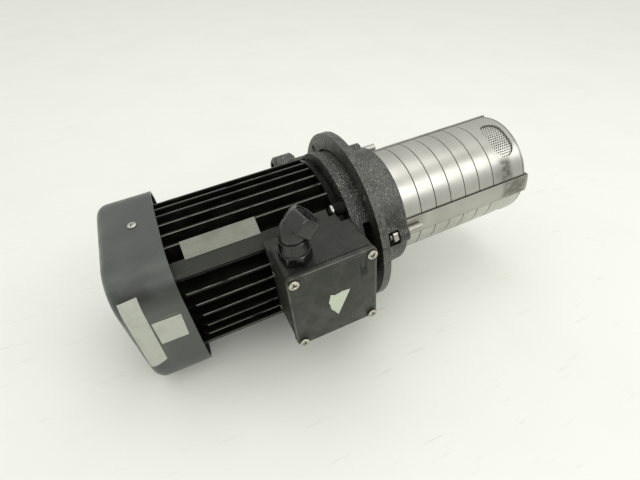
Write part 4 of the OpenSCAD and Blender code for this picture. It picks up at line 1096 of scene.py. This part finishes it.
def cover_label(name, corners):
    """A bare label laid on the fan cover, its corners given as (x, s) in turn."""
    rows = 24
    columns = 8
    bm = bmesh.new()
    a, b, c, d = [Vector(p) for p in corners]
    layers = []
    for lift in LABEL_LIFTS:
        grid = []
        for i in range(rows + 1):
            left = a.lerp(d, i / rows)
            right = b.lerp(c, i / rows)
            points = [left.lerp(right, j / columns) for j in range(columns + 1)]
            grid.append([bm.verts.new(cover_point(p.x, p.y, lift)) for p in points])
        layers.append(grid)
    low, high = layers
    for i in range(rows):
        for j in range(columns):
            bm.faces.new((low[i][j], low[i][j + 1], low[i + 1][j + 1], low[i + 1][j]))
            bm.faces.new((high[i][j], high[i + 1][j], high[i + 1][j + 1], high[i][j + 1]))
    border = [(0, j) for j in range(columns)] + [(i, columns) for i in range(rows)]
    border += [(rows, j) for j in range(columns, 0, -1)] + [(i, 0) for i in range(rows, 0, -1)]
    for (i0, j0), (i1, j1) in zip(border, border[1:] + border[:1]):
        bm.faces.new((low[i0][j0], high[i0][j0], high[i1][j1], low[i1][j1]))
    obj = new_object(name, bm, "sticker", smooth=30)


cover_label("side_label", [(-226.0, 52.7), (-210.9, 53.8), (-213.6, -24.2), (-229.6, -31.0)])
cover_label("square_label", [(-210.6, 23.8), (-186.9, 23.3), (-188.2, -4.0), (-211.0, -3.6)])


def scrap():
    """A torn bit of pale paper on the lid, ragged on its side toward the fan cover."""
    outline = [
        (-52.3, 18.9), (-57.2, 7.9), (-64.7, -8.2), (-71.0, 3.1), (-72.3, 12.1), (-70.4, 20.2),
        (-66.6, 18.6), (-60.1, 19.9)]
    ragged_below = -59
    points = []
    for (x0, z0), (x1, z1) in zip(outline, outline[1:] + outline[:1]):
        count = max(1, int(math.hypot(x1 - x0, z1 - z0) / 1.1))
        torn = 0.35 if max(x0, x1) < ragged_below else 0.06
        for k in range(count):
            x = x0 + (x1 - x0) * k / count + rng.uniform(-torn, torn)
            z = z0 + (z1 - z0) * k / count + rng.uniform(-torn, torn)
            points.append((x, z))
    bm = bmesh.new()
    loft(bm, [[(x, LID_FACE - lift, z) for x, z in points] for lift in (0.01, 0.14)])
    obj = new_object("paper_scrap", bm, "scrap", smooth=30)


scrap()


# Table, light and camera

# The pump rests on the flange's lower rim and on the fan cover's rear lower edge.
FLANGE_REST = Vector((-FLANGE_T, 0, -FLANGE_R)) * MM
COVER_REST = Vector((-222.0, 0, -COVER_HALF)) * MM
TABLE_HALF = 5.0
TABLE_GAP = 0.1 * MM
HORIZON = 0.65
ZENITH = 0.9

# Solved from the photograph: the eye in metres, its directions, and its focal length in
# pixels of an image 640 wide
EYE = Vector((-0.1484, -0.3139, 0.2849))
EYE_AHEAD = Vector((0.251, 0.692, -0.677))
EYE_RIGHT = Vector((0.908, -0.411, -0.084))
FOCAL_PIXELS = 413.23
IMAGE_PIXELS = 640
SENSOR = 36.0


def table():
    """The pale table top under the two places on which the pump rests, faintly scratched."""
    along = (FLANGE_REST - COVER_REST).normalized()
    up = along.cross(Vector((0, 1, 0))).normalized()
    bm = bmesh.new()
    bmesh.ops.create_grid(bm, x_segments=2, y_segments=2, size=TABLE_HALF)
    mesh = bpy.data.meshes.new("table")
    bm.to_mesh(mesh)
    bm.free()
    obj = bpy.data.objects.new("table", mesh)
    bpy.context.scene.collection.objects.link(obj)
    m = Matrix((along, up.cross(along), up)).transposed().to_4x4()
    m.translation = COVER_REST - up * TABLE_GAP
    obj.matrix_world = m
    s = Surface("pale_table", (0.86, 0.875, 0.81), 0.42, spec=0.3)
    s.mix(s.spread(s.noise(140 * MM, 4), 0.4, 0.75), (0.84, 0.855, 0.78))
    for lift, turn in ((3, 0.3), (7, 1.9), (11, 2.7)):
        lines = s.spread(s.noise(1.6 * MM, 5, (40, 1, 1), lift=lift, turn=(0, 0, turn)), 0.66, 0.71)
        here = s.spread(s.noise(60 * MM, 3, lift=lift), 0.48, 0.62)
        s.mix(s.product(lines, here), (0.5, 0.5, 0.43), 0.5)
    s.rougher(s.noise(30 * MM, 4), 0.36, 0.5)
    mesh.materials.append(s.material)


table()


def room():
    """A soft plain room: pale grey at the horizon, lighter overhead."""
    world = bpy.data.worlds.new("room")
    bpy.context.scene.world = world
    world.use_nodes = True
    tree = world.node_tree
    coord = tree.nodes.new("ShaderNodeTexCoord")
    split = tree.nodes.new("ShaderNodeSeparateXYZ")
    tree.links.new(coord.outputs["Generated"], split.inputs[0])
    rise = tree.nodes.new("ShaderNodeMapRange")
    rise.interpolation_type = "SMOOTHSTEP"
    limits = {"From Min": 0.0, "From Max": 0.85, "To Min": HORIZON, "To Max": ZENITH}
    for key, number in limits.items():
        rise.inputs[key].default_value = number
    tree.links.new(split.outputs["Z"], rise.inputs["Value"])
    back = tree.nodes["Background"]
    tree.links.new(rise.outputs["Result"], back.inputs["Strength"])
    back.inputs["Color"].default_value = (1.0, 1.0, 0.98, 1)


def lamp(name, place, target, size, power):
    """A rectangular lamp at place that faces target, in metres and watts."""
    data = bpy.data.lights.new(name, "AREA")
    data.shape = "RECTANGLE"
    data.size, data.size_y = size
    data.energy = power
    obj = bpy.data.objects.new(name, data)
    obj.location = place
    obj.rotation_euler = (Vector(target) - Vector(place)).to_track_quat("-Z", "Y").to_euler()
    bpy.context.scene.collection.objects.link(obj)


room()
lamp("overhead", place=(0.3, 0.3, 1.2), target=(-0.1, 0, 0), size=(1.3, 0.5), power=2.6)
lamp("window", place=(0.6, -1.45, 1.3), target=(0, 0, 0), size=(2.6, 0.8), power=12.6)

camera = bpy.data.cameras.new("camera")
camera.sensor_width = SENSOR
camera.lens = FOCAL_PIXELS / IMAGE_PIXELS * SENSOR
camera.clip_start = 0.01
eye = bpy.data.objects.new("camera", camera)
bpy.context.scene.collection.objects.link(eye)
ahead = EYE_AHEAD.normalized()
right = (EYE_RIGHT - ahead * EYE_RIGHT.dot(ahead)).normalized()
view = Matrix((right, right.cross(ahead), -ahead)).transposed().to_4x4()
view.translation = EYE
eye.matrix_world = view
bpy.context.scene.camera = eye
bpy.context.scene.view_settings.view_transform = "Standard"
